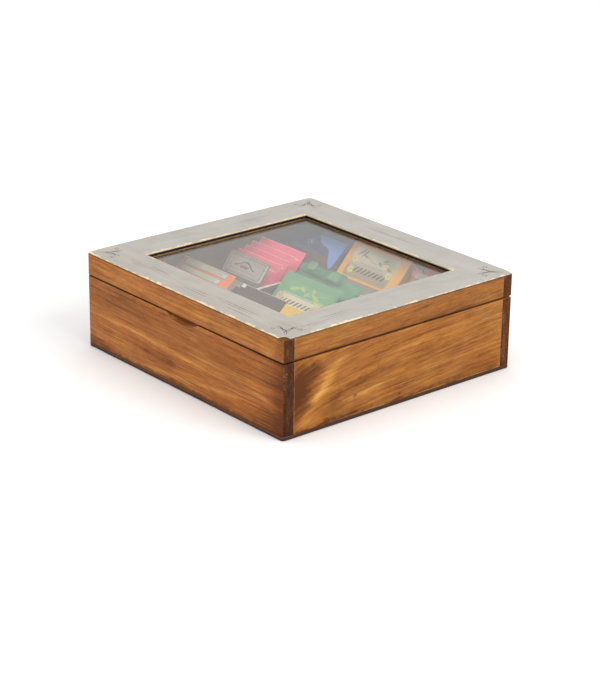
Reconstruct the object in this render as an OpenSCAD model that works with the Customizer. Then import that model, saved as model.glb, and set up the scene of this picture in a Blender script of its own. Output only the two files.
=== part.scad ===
// Hinged wooden box with a glazed lid and a nine-cell divider lattice,
// filled with paper tea sachets that lean back in rows.
// Frame: origin at the centre of the underside, +X along the front's width,
// front face towards -Y, hinges along +Y, +Z up. Millimetres.

/* [Case] */
// Outside width, left to right
box_w = 240; // [236:1:260]
// Outside depth, front to back
box_d = 228; // [224:1:250]
// Thickness of the boards
board_t = 10; // [9:0.5:10]
// Thickness of the bottom panel
base_t = 3; // [2.5:0.5:4]
// Height of the joint between case and lid
seam_z = 59; // [58:0.5:62]
// Gap between case and lid when closed
seam_gap = 0.8; // [0.2:0.1:1]
// Radius of the upright outer corners
corner_r = 2.5; // [1.5:0.5:4]
// Small chamfer along the seam
ease = 0.5; // [0.3:0.1:0.8]

/* [Lid] */
// Total height of the closed box
box_h = 78; // [77:0.5:82]
// Thickness of the washed face sheet
face_t = 1.2; // [1:0.1:2]
// Thickness of the ply panel under the face sheet
sub_t = 2; // [2:0.5:3]
// Thickness of the glass
glass_t = 2; // [1.5:0.5:2]
// Frame width at the left and right of the window
margin_x = 33.5; // [30:0.5:40]
// Frame width at the front and back of the window
margin_y = 32.7; // [30:0.1:40]
// Corner radius of the face sheet
sheet_r = 4.5; // [3:0.5:6]
// Broken tip of the face sheet, along the front
bite_x = 6.2; // [5:0.1:7]
// Broken tip of the face sheet, along the side
bite_y = 5.6; // [5:0.1:7]

/* [Thumb notch] */
// Width of the notch at the seam
notch_w = 39; // [30:1:44]
// Depth of the notch below the seam
notch_h = 5; // [4:0.5:6]
// How far it reaches into the board
notch_d = 7.5; // [5:0.5:8]
// Place of its middle along the front
notch_x = 2; // [-5:0.5:5]

/* [Dividers] */
// Thickness of the divider slats
div_t = 3; // [2.5:0.5:3]
// Height of the divider tops above the table
div_top = 46; // [40:1:48]

/* [Hinges] */
// Distance of each hinge's middle from the centre line
hinge_x = 75; // [60:1:85]
// Length of each hinge
hinge_l = 32; // [28:1:36]
// Radius of the hinge pin
pin_r = 1; // [0.9:0.05:1.1]
// Outer radius of the hinge knuckles
knuckle_r = 1.9; // [1.8:0.05:2]
// Thickness of the hinge leaves
leaf_t = 1; // [0.8:0.1:1]
// Angle at which the bevelled back edges meet
stop_deg = 101.5; // [95:0.5:105]

/* [Sachets] */
// Thickness of one filled sachet
sachet_t = 3; // [2:0.1:3]

/* [Hidden] */
$fn = 48;
wood = [0.65, 0.42, 0.24];
wood_dark = [0.45, 0.30, 0.18];
raw = [0.34, 0.24, 0.16];
wash = [0.76, 0.735, 0.705];
brass = [0.72, 0.60, 0.34];
steel = [0.62, 0.62, 0.64];

W = box_w / 2;
D = box_d / 2;
in_w = W - board_t;                 // half the inside width
in_d = D - board_t;                 // half the inside depth
case_top = seam_z - seam_gap / 2;
lid_bot = seam_z + seam_gap / 2;
rail_top = box_h - face_t;          // top of the lid rails
sub_bot = rail_top - sub_t;
glass_bot = sub_bot - glass_t;
win_w = W - margin_x;               // half window
win_d = D - margin_y;
rabbet = board_t / 2;

// divider lattice: three columns and three rows of equal cells
div_x = (in_w * 2 + div_t) / 3 - in_w - div_t / 2;   // negative: left slat
div_y = (in_d * 2 + div_t) / 3 - in_d - div_t / 2;
div_bot = base_t + 0.2;
lap_z = (div_bot + div_top) / 2;

// hinge axis, set in so that the knuckles are flush with the back
ax_y = D - knuckle_r;
ax_z = seam_z;
knuckles = 5;
kn_l = hinge_l / knuckles;
screw_y = D - 6.7;
screw_dx = 9.5;
bevel = stop_deg / 2;

// brads through the bottom panel: front and back rows, then the sides
brads = [for (s = [-1, 1]) for (x = [-90, 0, 90]) [x, s * (D - board_t / 2)],
         for (s = [-1, 1]) for (y = [-50, 50]) [s * (W - board_t / 2), y]];

// ---------------------------------------------------------------- helpers

// rounded rectangle from squares and circles
module round_rect(w, d, r) {
  square([w - 2 * r, d], center = true);
  square([w, d - 2 * r], center = true);
  for (x = [-1, 1]) for (y = [-1, 1])
    translate([x * (w / 2 - r), y * (d / 2 - r)]) circle(r);
}

// the outer block of the box between two heights
module outer(z0, z1, r = corner_r) {
  translate([0, 0, z0]) linear_extrude(z1 - z0) round_rect(box_w, box_d, r);
}

// block between two corners
module block(a, b) { translate(a) cube(b - a); }

// chamfer cutter along the four sides of the outline at height z
module ease_cut(z, c) {
  for (s = [-1, 1]) {
    translate([-W - 1, 0, 0]) rotate([90, 0, 90]) linear_extrude(box_w + 2)
      polygon([[s * D, z - c], [s * (D - c), z], [s * D, z + c], [s * (D + c), z]]);
    translate([0, D + 1, 0]) rotate([90, 0, 0]) linear_extrude(box_d + 2)
      polygon([[s * W, z - c], [s * (W - c), z], [s * W, z + c], [s * (W + c), z]]);
  }
}

// seat for the hinges in the top of the back board or the bottom of the lid rail
module hinge_seats(up) {
  for (s = [-1, 1]) translate([s * hinge_x, 0, 0]) {
    translate([-hinge_l / 2 - 0.3, ax_y, ax_z]) rotate([0, 90, 0])
      cylinder(h = hinge_l + 0.6, r = knuckle_r + 0.35);
    if (up > 0) block([-hinge_l / 2 - 0.1, in_d + 0.5, lid_bot - 1], [hinge_l / 2 + 0.1, ax_y, lid_bot + leaf_t]);
    else block([-hinge_l / 2 - 0.1, in_d + 0.5, case_top - leaf_t], [hinge_l / 2 + 0.1, ax_y, case_top + 1]);
    for (x = [-1, 1]) translate([x * screw_dx, screw_y, 0])
      if (up > 0) translate([0, 0, lid_bot]) cylinder(h = 8.5, r = 0.82);
      else translate([0, 0, case_top - 8.5]) cylinder(h = 8.5, r = 0.82);
  }
}

// wedge that lets the lid swing back until the two bevels meet
module back_bevel(up) {
  t = tan(bevel) * 5;
  translate([-W - 1, 0, 0]) rotate([90, 0, 90]) linear_extrude(box_w + 2)
    polygon([[ax_y, ax_z], [ax_y + 5, ax_z + up * t], [ax_y + 5, ax_z - up * 2], [ax_y, ax_z - up * 2]]);
}

module brad_holes() {
  for (b = brads) translate([b[0], b[1], 0]) {
    translate([0, 0, -1]) cylinder(h = 16.1, r = 0.68);
    translate([0, 0, -1]) cylinder(h = 1.65, r = 1.35);
  }
}

// ---------------------------------------------------------------- case

module case_block() {
  difference() {
    outer(base_t, case_top);
    ease_cut(case_top, ease);
    ease_cut(base_t, 0.3);
  }
}

module front_board() color(wood)
  difference() {
    intersection() { case_block(); block([-W - 1, -D - 1, 0], [W + 1, -in_d, box_h]); }
    thumb_notch();
    brad_holes();
  }

// finger scoop: deepest at the outer face, rising inwards to a curved back wall
module thumb_notch() {
  slope = 8;
  nh = notch_h * cos(slope);
  rr = (notch_w * notch_w / 4 + nh * nh) / (2 * nh);
  br = (pow(notch_w / 2 + 1, 2) + notch_d * notch_d) / (2 * notch_d);
  intersection() {
    translate([notch_x, -D, case_top - notch_h]) rotate([slope - 90, 0, 0])
      translate([0, -rr, -30]) cylinder(h = 60, r = rr, $fn = 180);
    translate([notch_x, notch_d - D - br, case_top - 12]) cylinder(h = 24, r = br, $fn = 180);
  }
}

module back_board() color(wood)
  difference() {
    intersection() { case_block(); block([-W - 1, in_d, 0], [W + 1, D + 1, box_h]); }
    hinge_seats(-1);
    back_bevel(-1);
    brad_holes();
  }

module side_board(s) difference() {
  intersection() {
    case_block();
    if (s > 0) block([in_w, -in_d, 0], [W + 1, in_d, box_h]);
    else block([-W - 1, -in_d, 0], [-in_w, in_d, box_h]);
  }
  brad_holes();
}
module left_side_board() color(wood) side_board(-1);
module right_side_board() color(wood) side_board(1);

module base_panel() color(wood_dark)
  difference() {
    translate([0, 0, 0]) linear_extrude(base_t) round_rect(box_w, box_d, corner_r);
    brad_holes();
  }

module base_brads() color(steel)
  for (b = brads) translate([b[0], b[1], 0]) {
    translate([0, 0, 0.1]) cylinder(h = 0.5, r = 1.3);
    translate([0, 0, 0.5]) cylinder(h = 14, r = 0.65);
  }

// ---------------------------------------------------------------- dividers

// slats across the box, slotted from above
module slat_across(y) difference() {
  block([-in_w + 0.2, y - div_t / 2, div_bot], [in_w - 0.2, y + div_t / 2, div_top]);
  for (s = [-1, 1])
    block([s * div_x - div_t / 2 - 0.1, y - div_t, lap_z], [s * div_x + div_t / 2 + 0.1, y + div_t, div_top + 1]);
}
// slats from front to back, slotted from below
module slat_along(x) difference() {
  block([x - div_t / 2, -in_d + 0.2, div_bot], [x + div_t / 2, in_d - 0.2, div_top]);
  for (s = [-1, 1])
    block([x - div_t, s * div_y - div_t / 2 - 0.1, 0], [x + div_t, s * div_y + div_t / 2 + 0.1, lap_z + 0.1]);
}
module divider_across_front() color(raw) slat_across(div_y);
module divider_across_back() color(raw) slat_across(-div_y);
module divider_left() color(raw) slat_along(div_x);
module divider_right() color(raw) slat_along(-div_x);

// ---------------------------------------------------------------- hinges

// up = -1 for the leaf on the case, which has the outer knuckles, 1 for the lid
module leaf(up) {
  z0 = up > 0 ? lid_bot : case_top - leaf_t;
  own = up > 0 ? [1, 3] : [0, 2, 4];
  other = up > 0 ? [0, 2, 4] : [1, 3];
  difference() {
    union() {
      block([-hinge_l / 2, in_d + 0.6, z0], [hinge_l / 2, ax_y, z0 + leaf_t]);
      for (i = own) translate([-hinge_l / 2 + i * kn_l + (i > 0 ? 0.15 : 0), ax_y, ax_z]) rotate([0, 90, 0])
        cylinder(h = kn_l - (i > 0 ? 0.15 : 0) - (i < knuckles - 1 ? 0.15 : 0), r = knuckle_r);
    }
    for (i = other) translate([-hinge_l / 2 + i * kn_l - 0.15, ax_y, ax_z]) rotate([0, 90, 0])
      cylinder(h = kn_l + 0.3, r = knuckle_r + 0.25);
    translate([-hinge_l / 2 - 1, ax_y, ax_z]) rotate([0, 90, 0])
      cylinder(h = hinge_l + 2, r = pin_r + (up > 0 ? 0.06 : 0.03));
    for (x = [-1, 1]) translate([x * screw_dx, screw_y, 0])
      if (up > 0) translate([0, 0, z0 - 0.01]) cylinder(h = leaf_t + 0.02, r1 = 1.75, r2 = 0.87);
      else translate([0, 0, z0 - 0.01]) cylinder(h = leaf_t + 0.02, r1 = 0.87, r2 = 1.75);
  }
}
module hinge_left_case_leaf() color(brass) translate([-hinge_x, 0, 0]) leaf(-1);
module hinge_right_case_leaf() color(brass) translate([hinge_x, 0, 0]) leaf(-1);
module hinge_left_lid_leaf() color(brass) translate([-hinge_x, 0, 0]) leaf(1);
module hinge_right_lid_leaf() color(brass) translate([hinge_x, 0, 0]) leaf(1);

module pin(x) translate([x - hinge_l / 2, ax_y, ax_z]) rotate([0, 90, 0]) cylinder(h = hinge_l, r = pin_r);
module hinge_left_pin() color(steel) pin(-hinge_x);
module hinge_right_pin() color(steel) pin(hinge_x);

// countersunk screw, head up at z = 0
module screw() difference() {
  union() {
    translate([0, 0, -leaf_t + 0.05]) cylinder(h = leaf_t - 0.1, r1 = 0.8, r2 = 1.6);
    translate([0, 0, -8]) cylinder(h = 8 - leaf_t + 0.1, r = 0.78);
  }
  block([-2, -0.2, -0.4], [2, 0.2, 1]);
}
module hinge_case_screws() color(brass)
  for (s = [-1, 1]) for (x = [-1, 1]) translate([s * hinge_x + x * screw_dx, screw_y, case_top]) screw();
module hinge_lid_screws() color(brass)
  for (s = [-1, 1]) for (x = [-1, 1]) translate([s * hinge_x + x * screw_dx, screw_y, lid_bot]) rotate([180, 0, 0]) screw();

// ---------------------------------------------------------------- lid

module rail_block() {
  difference() {
    outer(lid_bot, rail_top);
    ease_cut(lid_bot, ease);
    ease_cut(rail_top, 0.4);
    // rabbet that the ply panel drops into
    block([-in_w - rabbet, -in_d - rabbet, sub_bot], [in_w + rabbet, in_d + rabbet, box_h]);
  }
}
module lid_front_rail() color(wood)
  intersection() { rail_block(); block([-W - 1, -D - 1, 0], [W + 1, -in_d, box_h]); }
module lid_back_rail() color(wood)
  difference() {
    intersection() { rail_block(); block([-W - 1, in_d, 0], [W + 1, D + 1, box_h]); }
    hinge_seats(1);
    back_bevel(1);
  }
module lid_left_rail() color(wood)
  intersection() { rail_block(); block([-W - 1, -in_d, 0], [-in_w, in_d, box_h]); }
module lid_right_rail() color(wood)
  intersection() { rail_block(); block([in_w, -in_d, 0], [W + 1, in_d, box_h]); }

module lid_ply_panel() color(wood_dark)
  difference() {
    block([-in_w - rabbet, -in_d - rabbet, sub_bot], [in_w + rabbet, in_d + rabbet, rail_top]);
    block([-win_w, -win_d, 0], [win_w, win_d, box_h]);
  }

module lid_face_sheet() color(wash)
  translate([0, 0, rail_top]) linear_extrude(face_t) difference() {
    round_rect(box_w, box_d, sheet_r);
    square([2 * win_w, 2 * win_d], center = true);
    // the corner that is seen first has lost its tip
    translate([W, -D]) round_rect(2 * bite_x, 2 * bite_y, 2.4);
  }

g_x = win_w + 8;                    // half the glass
g_y = win_d + 8;
module window_glass() color([0.62, 0.64, 0.64, 0.4])
  block([-g_x, -g_y, glass_bot], [g_x, g_y, sub_bot]);

// glued strips with a rabbet that carries the edge of the glass
strip_in = 3;                       // inner edge, outside the window opening
strip_out = 13;                     // outer edge
strip_bot = glass_bot - 1.5;
module strip_x(s) difference() {
  block([-win_w - strip_out, s > 0 ? win_d + strip_in : -win_d - strip_out, strip_bot],
        [win_w + strip_out, s > 0 ? win_d + strip_out : -win_d - strip_in, sub_bot]);
  block([-g_x - 0.2, -g_y - 0.2, glass_bot], [g_x + 0.2, g_y + 0.2, box_h]);
}
module strip_y(s) difference() {
  block([s > 0 ? win_w + strip_in : -win_w - strip_out, -win_d - strip_in, strip_bot],
        [s > 0 ? win_w + strip_out : -win_w - strip_in, win_d + strip_in, sub_bot]);
  block([-g_x - 0.2, -g_y - 0.2, glass_bot], [g_x + 0.2, g_y + 0.2, box_h]);
}
module glazing_strip_front() color(wood_dark) strip_x(-1);
module glazing_strip_back() color(wood_dark) strip_x(1);
module glazing_strip_left() color(wood_dark) strip_y(-1);
module glazing_strip_right() color(wood_dark) strip_y(1);

// ---------------------------------------------------------------- sachets

// cell centres
cx = [for (i = [-1:1]) i * (in_w - div_x + div_t / 2) / 2];
cy = [for (i = [-1:1]) i * (in_d - div_y + div_t / 2) / 2];

// one sachet: [x of its middle and y of its top edge from the cell centre,
// z of its top edge, lean from upright, width, length]
module sachet(c, r, s)
  translate([cx[c] + s[0], cy[r] + s[1], s[2]]) rotate([-s[3], 0, 0])
    translate([-s[4] / 2, 0, -s[5]]) cube([s[4], sachet_t, s[5]]);
module stack(c, r, list) for (s = list) sachet(c, r, s);

module sachets_front_left() color([0.85, 0.52, 0.36]) stack(0, 0, [
  [1.5, 40.5, 60.4, 50, 66, 70], [0, 30.9, 46.8, 50, 66, 60], [1, 24.2, 35.8, 50, 66, 40]]);
module sachets_front_middle() color([0.16, 0.13, 0.12]) stack(1, 0, [
  [5.5, 32.8, 62.4, 49, 55, 70], [1.5, 33.8, 57.5, 49, 66, 70],
  [-1, 33.8, 51.8, 49, 66, 66], [1, 31.6, 44.3, 49, 66, 56]]);
module sachets_front_right() color([0.86, 0.77, 0.40]) stack(2, 0, [
  [-1.9, 24.8, 65.5, 45, 66, 72], [0, 27.3, 63.5, 45, 66, 74], [-1, 28.6, 60.3, 45, 66, 74],
  [0.5, 30.6, 57.8, 45, 66, 72], [-0.6, 31.3, 53.9, 45, 66, 68], [0, 32, 50.1, 45, 66, 62]]);
module sachets_middle_left() color([0.85, 0.45, 0.56]) stack(0, 1, [
  [6.4, 41.7, 64, 42, 55.5, 76], [5, 32.5, 62.5, 42, 54, 76], [5, 25.9, 60.3, 42, 56, 74],
  [3.5, 19.5, 58.2, 42, 56, 70], [0, 31, 45.6, 42, 66, 53]]);
module sachet_middle_left_fore() color([0.55, 0.54, 0.49]) stack(0, 1, [
  [5, 8.7, 60.4, 37, 50, 68]]);
module sachets_middle_middle() color([0.35, 0.62, 0.45]) stack(1, 1, [
  [-2.5, 19.7, 56.5, 47, 65, 66], [2, 28.6, 60.2, 47, 64, 72], [0, 31.5, 58, 47, 66, 70],
  [-1, 30.6, 47.5, 47, 66, 60]]);
module sachets_middle_right() color([0.74, 0.78, 0.72]) stack(2, 1, [
  [0, 24, 58, 45, 66, 68], [-1, 27.5, 52.8, 45, 66, 66], [0, 29, 46.5, 45, 64, 56]]);
module sachets_back_left() color([0.16, 0.22, 0.42]) stack(0, 2, [
  [1, 23.5, 65.8, 50, 68, 66], [0, 26, 62.3, 50, 67, 68], [-1, 28.4, 58.8, 50, 66, 70],
  [0, 30.7, 55.3, 50, 66, 72]]);
module sachets_back_middle() color([0.92, 0.62, 0.27]) stack(1, 2, [
  [-0.3, 19.3, 67.7, 43, 67.5, 72], [0, 22, 64.2, 43, 67, 72], [1, 25, 61.2, 43, 66, 72],
  [0, 28, 58.2, 43, 66, 70], [0, 30.6, 55.2, 43, 66, 68]]);
module sachets_back_right() color([0.86, 0.45, 0.33]) stack(2, 2, [
  [-2.5, 16, 61, 44, 63, 66], [1, 26, 64.5, 44, 66, 66], [0, 28.4, 60.7, 44, 66, 66],
  [0, 30.6, 57, 44, 66, 66]]);

// ---------------------------------------------------------------- nodes

front_board();
back_board();
left_side_board();
right_side_board();
base_panel();
base_brads();
divider_across_front();
divider_across_back();
divider_left();
divider_right();
hinge_left_case_leaf();
hinge_right_case_leaf();
hinge_left_pin();
hinge_right_pin();
hinge_case_screws();
lid_front_rail();
lid_back_rail();
lid_left_rail();
lid_right_rail();
lid_ply_panel();
lid_face_sheet();
window_glass();
glazing_strip_front();
glazing_strip_back();
glazing_strip_left();
glazing_strip_right();
hinge_left_lid_leaf();
hinge_right_lid_leaf();
hinge_lid_screws();
sachets_front_left();
sachets_front_middle();
sachets_front_right();
sachets_middle_left();
sachet_middle_left_fore();
sachets_middle_middle();
sachets_middle_right();
sachets_back_left();
sachets_back_middle();
sachets_back_right();
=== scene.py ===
import math
import random

import bpy
import bmesh
from mathutils import Matrix, Vector, noise


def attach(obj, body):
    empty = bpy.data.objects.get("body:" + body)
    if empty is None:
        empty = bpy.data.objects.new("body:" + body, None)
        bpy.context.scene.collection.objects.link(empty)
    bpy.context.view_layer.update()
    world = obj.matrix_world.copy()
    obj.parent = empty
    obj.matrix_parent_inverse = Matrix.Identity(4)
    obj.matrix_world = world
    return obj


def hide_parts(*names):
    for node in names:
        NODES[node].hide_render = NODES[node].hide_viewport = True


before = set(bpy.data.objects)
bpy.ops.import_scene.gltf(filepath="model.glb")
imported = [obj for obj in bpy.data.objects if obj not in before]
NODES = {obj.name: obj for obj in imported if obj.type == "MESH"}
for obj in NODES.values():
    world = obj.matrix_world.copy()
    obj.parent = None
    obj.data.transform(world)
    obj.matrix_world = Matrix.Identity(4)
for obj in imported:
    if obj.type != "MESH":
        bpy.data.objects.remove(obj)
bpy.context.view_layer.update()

MM = 0.001
scene = bpy.context.scene
random.seed(11)

# ------------------------------------------------------------------ shader helpers


def lin(r, g=None, b=None):
    """Scene-linear colour from display values 0 to 255."""
    if g is None:
        r, g, b = r
    out = []
    for c in (r, g, b):
        c = c / 255.0
        out.append(c / 12.92 if c <= 0.04045 else ((c + 0.055) / 1.055) ** 2.4)
    return (*out, 1.0)


class S:
    """A socket that takes part in sums."""

    def __init__(self, m, s):
        self.m, self.s = m, s

    def __add__(self, o):
        return self.m.math("ADD", self, o)

    __radd__ = __add__

    def __sub__(self, o):
        return self.m.math("SUBTRACT", self, o)

    def __rsub__(self, o):
        return self.m.math("SUBTRACT", o, self)

    def __mul__(self, o):
        return self.m.math("MULTIPLY", self, o)

    __rmul__ = __mul__

    def __truediv__(self, o):
        return self.m.math("DIVIDE", self, o)

    def __rtruediv__(self, o):
        return self.m.math("DIVIDE", o, self)

    def __neg__(self):
        return self.m.math("MULTIPLY", self, -1.0)

    def abs(self):
        return self.m.math("ABSOLUTE", self)

    def sqrt(self):
        return self.m.math("SQRT", self)

    def sq(self):
        return self.m.math("MULTIPLY", self, self)

    def pow(self, e):
        return self.m.math("POWER", self, e)

    def fract(self):
        return self.m.math("FRACT", self)

    def clamp(self):
        return self.m.math("ADD", self, 0.0, clamp=True)

    def min(self, o):
        return self.m.math("MINIMUM", self, o)

    def max(self, o):
        return self.m.math("MAXIMUM", self, o)

    def step(self, lo, hi):
        """Smooth 0 to 1 between lo and hi."""
        n = self.m.new("ShaderNodeMapRange", interpolation_type="SMOOTHSTEP")
        self.m.put(n.inputs[0], self)
        n.inputs[1].default_value, n.inputs[2].default_value = lo, hi
        n.inputs[3].default_value, n.inputs[4].default_value = 0.0, 1.0
        if lo > hi:
            n.inputs[1].default_value, n.inputs[2].default_value = hi, lo
            n.inputs[3].default_value, n.inputs[4].default_value = 1.0, 0.0
        return S(self.m, n.outputs[0])


class Mat:
    def __init__(self, name):
        self.mat = bpy.data.materials.new(name)
        self.mat.use_nodes = True
        self.nt = self.mat.node_tree
        self.nt.nodes.clear()
        self.out = self.new("ShaderNodeOutputMaterial")
        self.bsdf = self.new("ShaderNodeBsdfPrincipled")
        self.nt.links.new(self.bsdf.outputs[0], self.out.inputs[0])
        self._tc = None

    def new(self, kind, **kw):
        n = self.nt.nodes.new(kind)
        for k, v in kw.items():
            setattr(n, k, v)
        return n

    def put(self, sock, v):
        if isinstance(v, S):
            self.nt.links.new(v.s, sock)
        else:
            sock.default_value = v

    def set(self, name, v):
        self.put(self.bsdf.inputs[name], v)

    def math(self, op, *a, clamp=False):
        n = self.new("ShaderNodeMath", operation=op, use_clamp=clamp)
        for i, v in enumerate(a):
            self.put(n.inputs[i], v)
        return S(self, n.outputs[0])

    def coord(self, which="Object"):
        if self._tc is None:
            self._tc = self.new("ShaderNodeTexCoord")
        return S(self, self._tc.outputs[which])

    def split(self, v):
        n = self.new("ShaderNodeSeparateXYZ")
        self.put(n.inputs[0], v)
        return [S(self, o) for o in n.outputs]

    def xyz(self, scale=1000.0):
        """Object coordinates in millimetres."""
        n = self.new("ShaderNodeVectorMath", operation="SCALE")
        self.put(n.inputs[0], self.coord())
        n.inputs["Scale"].default_value = scale
        return self.split(S(self, n.outputs[0]))

    def vec(self, x, y, z):
        n = self.new("ShaderNodeCombineXYZ")
        for i, v in enumerate((x, y, z)):
            self.put(n.inputs[i], v)
        return S(self, n.outputs[0])

    def attr(self, name, out="Fac"):
        n = self.new("ShaderNodeAttribute", attribute_name=name)
        return S(self, n.outputs[out])

    def noise(self, vec, scale=1.0, detail=2.0, rough=0.5, distort=0.0):
        n = self.new("ShaderNodeTexNoise", noise_dimensions="3D")
        self.put(n.inputs["Vector"], vec)
        n.inputs["Scale"].default_value = scale
        n.inputs["Detail"].default_value = detail
        n.inputs["Roughness"].default_value = rough
        n.inputs["Distortion"].default_value = distort
        return S(self, n.outputs[0])

    def cells(self, vec, scale=1.0, feature="F1"):
        n = self.new("ShaderNodeTexVoronoi", feature=feature)
        self.put(n.inputs["Vector"], vec)
        n.inputs["Scale"].default_value = scale
        return S(self, n.outputs["Distance"])

    def mix(self, a, b, f, blend="MIX"):
        n = self.new("ShaderNodeMix", data_type="RGBA", blend_type=blend, clamp_factor=True)
        self.put(n.inputs[0], f)
        self.put(n.inputs[6], a)
        self.put(n.inputs[7], b)
        return S(self, n.outputs[2])

    def shade(self, col, f):
        """Colour times a number."""
        n = self.new("ShaderNodeVectorMath", operation="SCALE")
        self.put(n.inputs[0], col if isinstance(col, S) else col[:3])
        self.put(n.inputs["Scale"], f)
        return S(self, n.outputs[0])

    def ramp(self, f, stops):
        n = self.new("ShaderNodeValToRGB")
        r = n.color_ramp
        while len(r.elements) < len(stops):
            r.elements.new(0.5)
        for e, (p, c) in zip(r.elements, stops):
            e.position = p
            e.color = c
        self.put(n.inputs[0], f)
        return S(self, n.outputs[0])

    def bump(self, height, strength=0.3, distance=0.0002, base=None):
        n = self.new("ShaderNodeBump")
        n.inputs["Strength"].default_value = strength
        n.inputs["Distance"].default_value = distance
        self.put(n.inputs["Height"], height)
        if base is not None:
            self.put(n.inputs["Normal"], base)
        return S(self, n.outputs[0])

    def gauss(self, a, b, a0, b0, ra, rb, ang=0.0):
        """Soft oval spot of height 1 in the plane of a and b."""
        da, db = a - a0, b - b0
        if ang:
            c, s = math.cos(math.radians(ang)), math.sin(math.radians(ang))
            da, db = da * c + db * s, db * c - da * s
        q = (da / ra).sq() + (db / rb).sq()
        return self.math("EXPONENT", -q)


# ------------------------------------------------------------------ materials

def wood(name, grain="X", tone=(1, 1, 1), seed=0.0, slope=0.0, pith=(30, -45), spacing=3.1,
         feats=(), gold=0.0, contrast=1.0, inner=None, swirl=None, scoop=False, run=1.0, thin=1.0, patchy=0.34, joint=None, lid=False, ends=1.0):
    """Stained softwood board: growth rings round a pith line, fibres, pores and dark end grain.

    feats are soft spots (along, up, half length, half height, angle, amount, kind); kind 1 follows the figure.
    """
    m = Mat(name)
    x, y, z = m.xyz()
    L, T = (x, y) if grain == "X" else (y, x)
    A = z - L * math.tan(math.radians(slope))
    if swirl:                                   # fibres climb out of one end, as beside a branch
        l0, reach, height = swirl
        A = A + m.math("EXPONENT", -((L - l0) / reach)) * height
    w1 = m.noise(m.vec(L / 150 + seed, A / 60, T / 60), 1, 2, 0.5) - 0.5
    w2 = m.noise(m.vec(L / 120 + seed + 7.3, A / 45 + 3.1, T / 45), 1, 2, 0.5) - 0.5
    w3 = m.noise(m.vec(L / 30 + seed + 1.7, A / 11, T / 11), 1, 2, 0.5) - 0.5
    Aw = A + w1 * 8 + w3 * 0.7
    An = Aw / thin
    Tw = T + w2 * 6
    r = ((Aw - pith[0]).sq() + (Tw - pith[1]).sq()).sqrt()
    turn = r / spacing + (m.noise(m.vec(L / 90, r / 7, seed), 1, 2, 0.5) - 0.5) * 1.3
    ring = turn.fract()
    late = ring.step(0.45, 0.93) * (1 - ring.step(0.93, 1.0)) * (m.noise(m.vec(turn / 2.3, seed, L / 160), 1, 1, 0.5)).step(0.34, 0.62)
    big = m.noise(m.vec(L / 150 + seed, Aw / 6.5, Tw / 6.5), 1, 2.5, 0.55) - 0.5
    mid = m.noise(m.vec(L / (60 * run) + seed * 1.7, An / 2.0, Tw / 2.0), 1, 3, 0.65) - 0.5
    fib = m.noise(m.vec(L / (28 * run) + seed, An / 0.95, Tw / 0.95), 1, 3, 0.68) - 0.5
    fine = m.noise(m.vec(L / (10 * run) + seed, An / 0.4, Tw / 0.4), 1, 3, 0.62) - 0.5
    line = m.noise(m.vec(L / (75 * run) + seed * 2.1, An / 1.05, Tw / 1.05), 1, 1.5, 0.5)
    hair = m.noise(m.vec(L / 4.5, Aw / 0.2, Tw / 0.2), 1, 2, 0.6) - 0.5
    blot = m.noise(m.vec(L / 24 + seed + 3, A / 12, T / 15), 1, 4, 0.6) - 0.5
    soft = m.noise(m.vec(L / 7, z / 5, T / 9 + 1.3), 1, 4, 0.62) - 0.5
    dust = m.noise(m.vec(x / 1.3, y / 1.3, z / 1.0), 1, 2, 0.6) - 0.5
    g = (big * 0.36 + mid * 0.46) * contrast + fib * 0.62 + fine * 0.42 + blot * patchy + soft * 0.18 + dust * 0.18 + 0.5 + gold
    g = g - line.step(0.58, 0.72) * 0.20 + line.step(0.40, 0.28) * 0.12
    for (l0, a0, rl, ra, ang, amp, kind) in feats:
        if kind == 1:
            sp = m.gauss(L, Aw + mid * 1.2, l0, a0, rl, ra, ang)
        elif kind == 2:                         # a smoky patch with a ragged rim
            sp = m.gauss(L + soft * 16 + blot * 20, z + soft * 12 + blot * 10, l0, a0, rl, ra, ang).step(0.06, 0.85)
        else:
            sp = m.gauss(L + w3 * 10 + soft * 3, z + mid * 2.4 + w3 * 2 + soft * 2, l0, a0, rl, ra, ang)
        g = g + sp * amp
    g = g - late * 0.14 * contrast
    t = [tuple(c * k for c, k in zip(col[:3], tone)) + (1,) for col in (
        lin(98, 52, 24), lin(134, 78, 32), lin(169, 105, 53), lin(199, 135, 68), lin(230, 172, 94))]
    col = m.ramp(g.clamp(), [(0.0, t[0]), (0.25, t[1]), (0.5, t[2]), (0.75, t[3]), (1.0, t[4])])
    # the stain is redder in some places and more golden in others
    warm = m.noise(m.vec(L / 60 + seed, A / 18, T / 18 + 2.0), 1, 2, 0.5)
    col = m.mix(col, m.mix(col, (1.0, 0.93, 0.88, 1), 1.0, "MULTIPLY"), warm.step(0.46, 0.62) * 0.6)
    col = m.mix(col, m.mix(col, (0.93, 0.97, 1.08, 1), 1.0, "MULTIPLY"), warm.step(0.46, 0.32) * 0.8)
    hue = m.noise(m.vec(L / 45 + seed + 5, Aw / 8 + 1.0, T / 12), 1, 2, 0.5)
    col = m.mix(col, m.mix(col, (1.04, 1.0, 0.74, 1), 1.0, "MULTIPLY"), hue.step(0.50, 0.66) * 0.8)
    # short dark pores and hair lines
    pore = m.noise(m.vec(L / 3.4 + 11, Aw / 0.34, Tw / 0.34), 1, 2, 0.5).step(0.66, 0.76)
    col = m.shade(col, 1.02 - pore * 0.22 - hair * 0.26)
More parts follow.
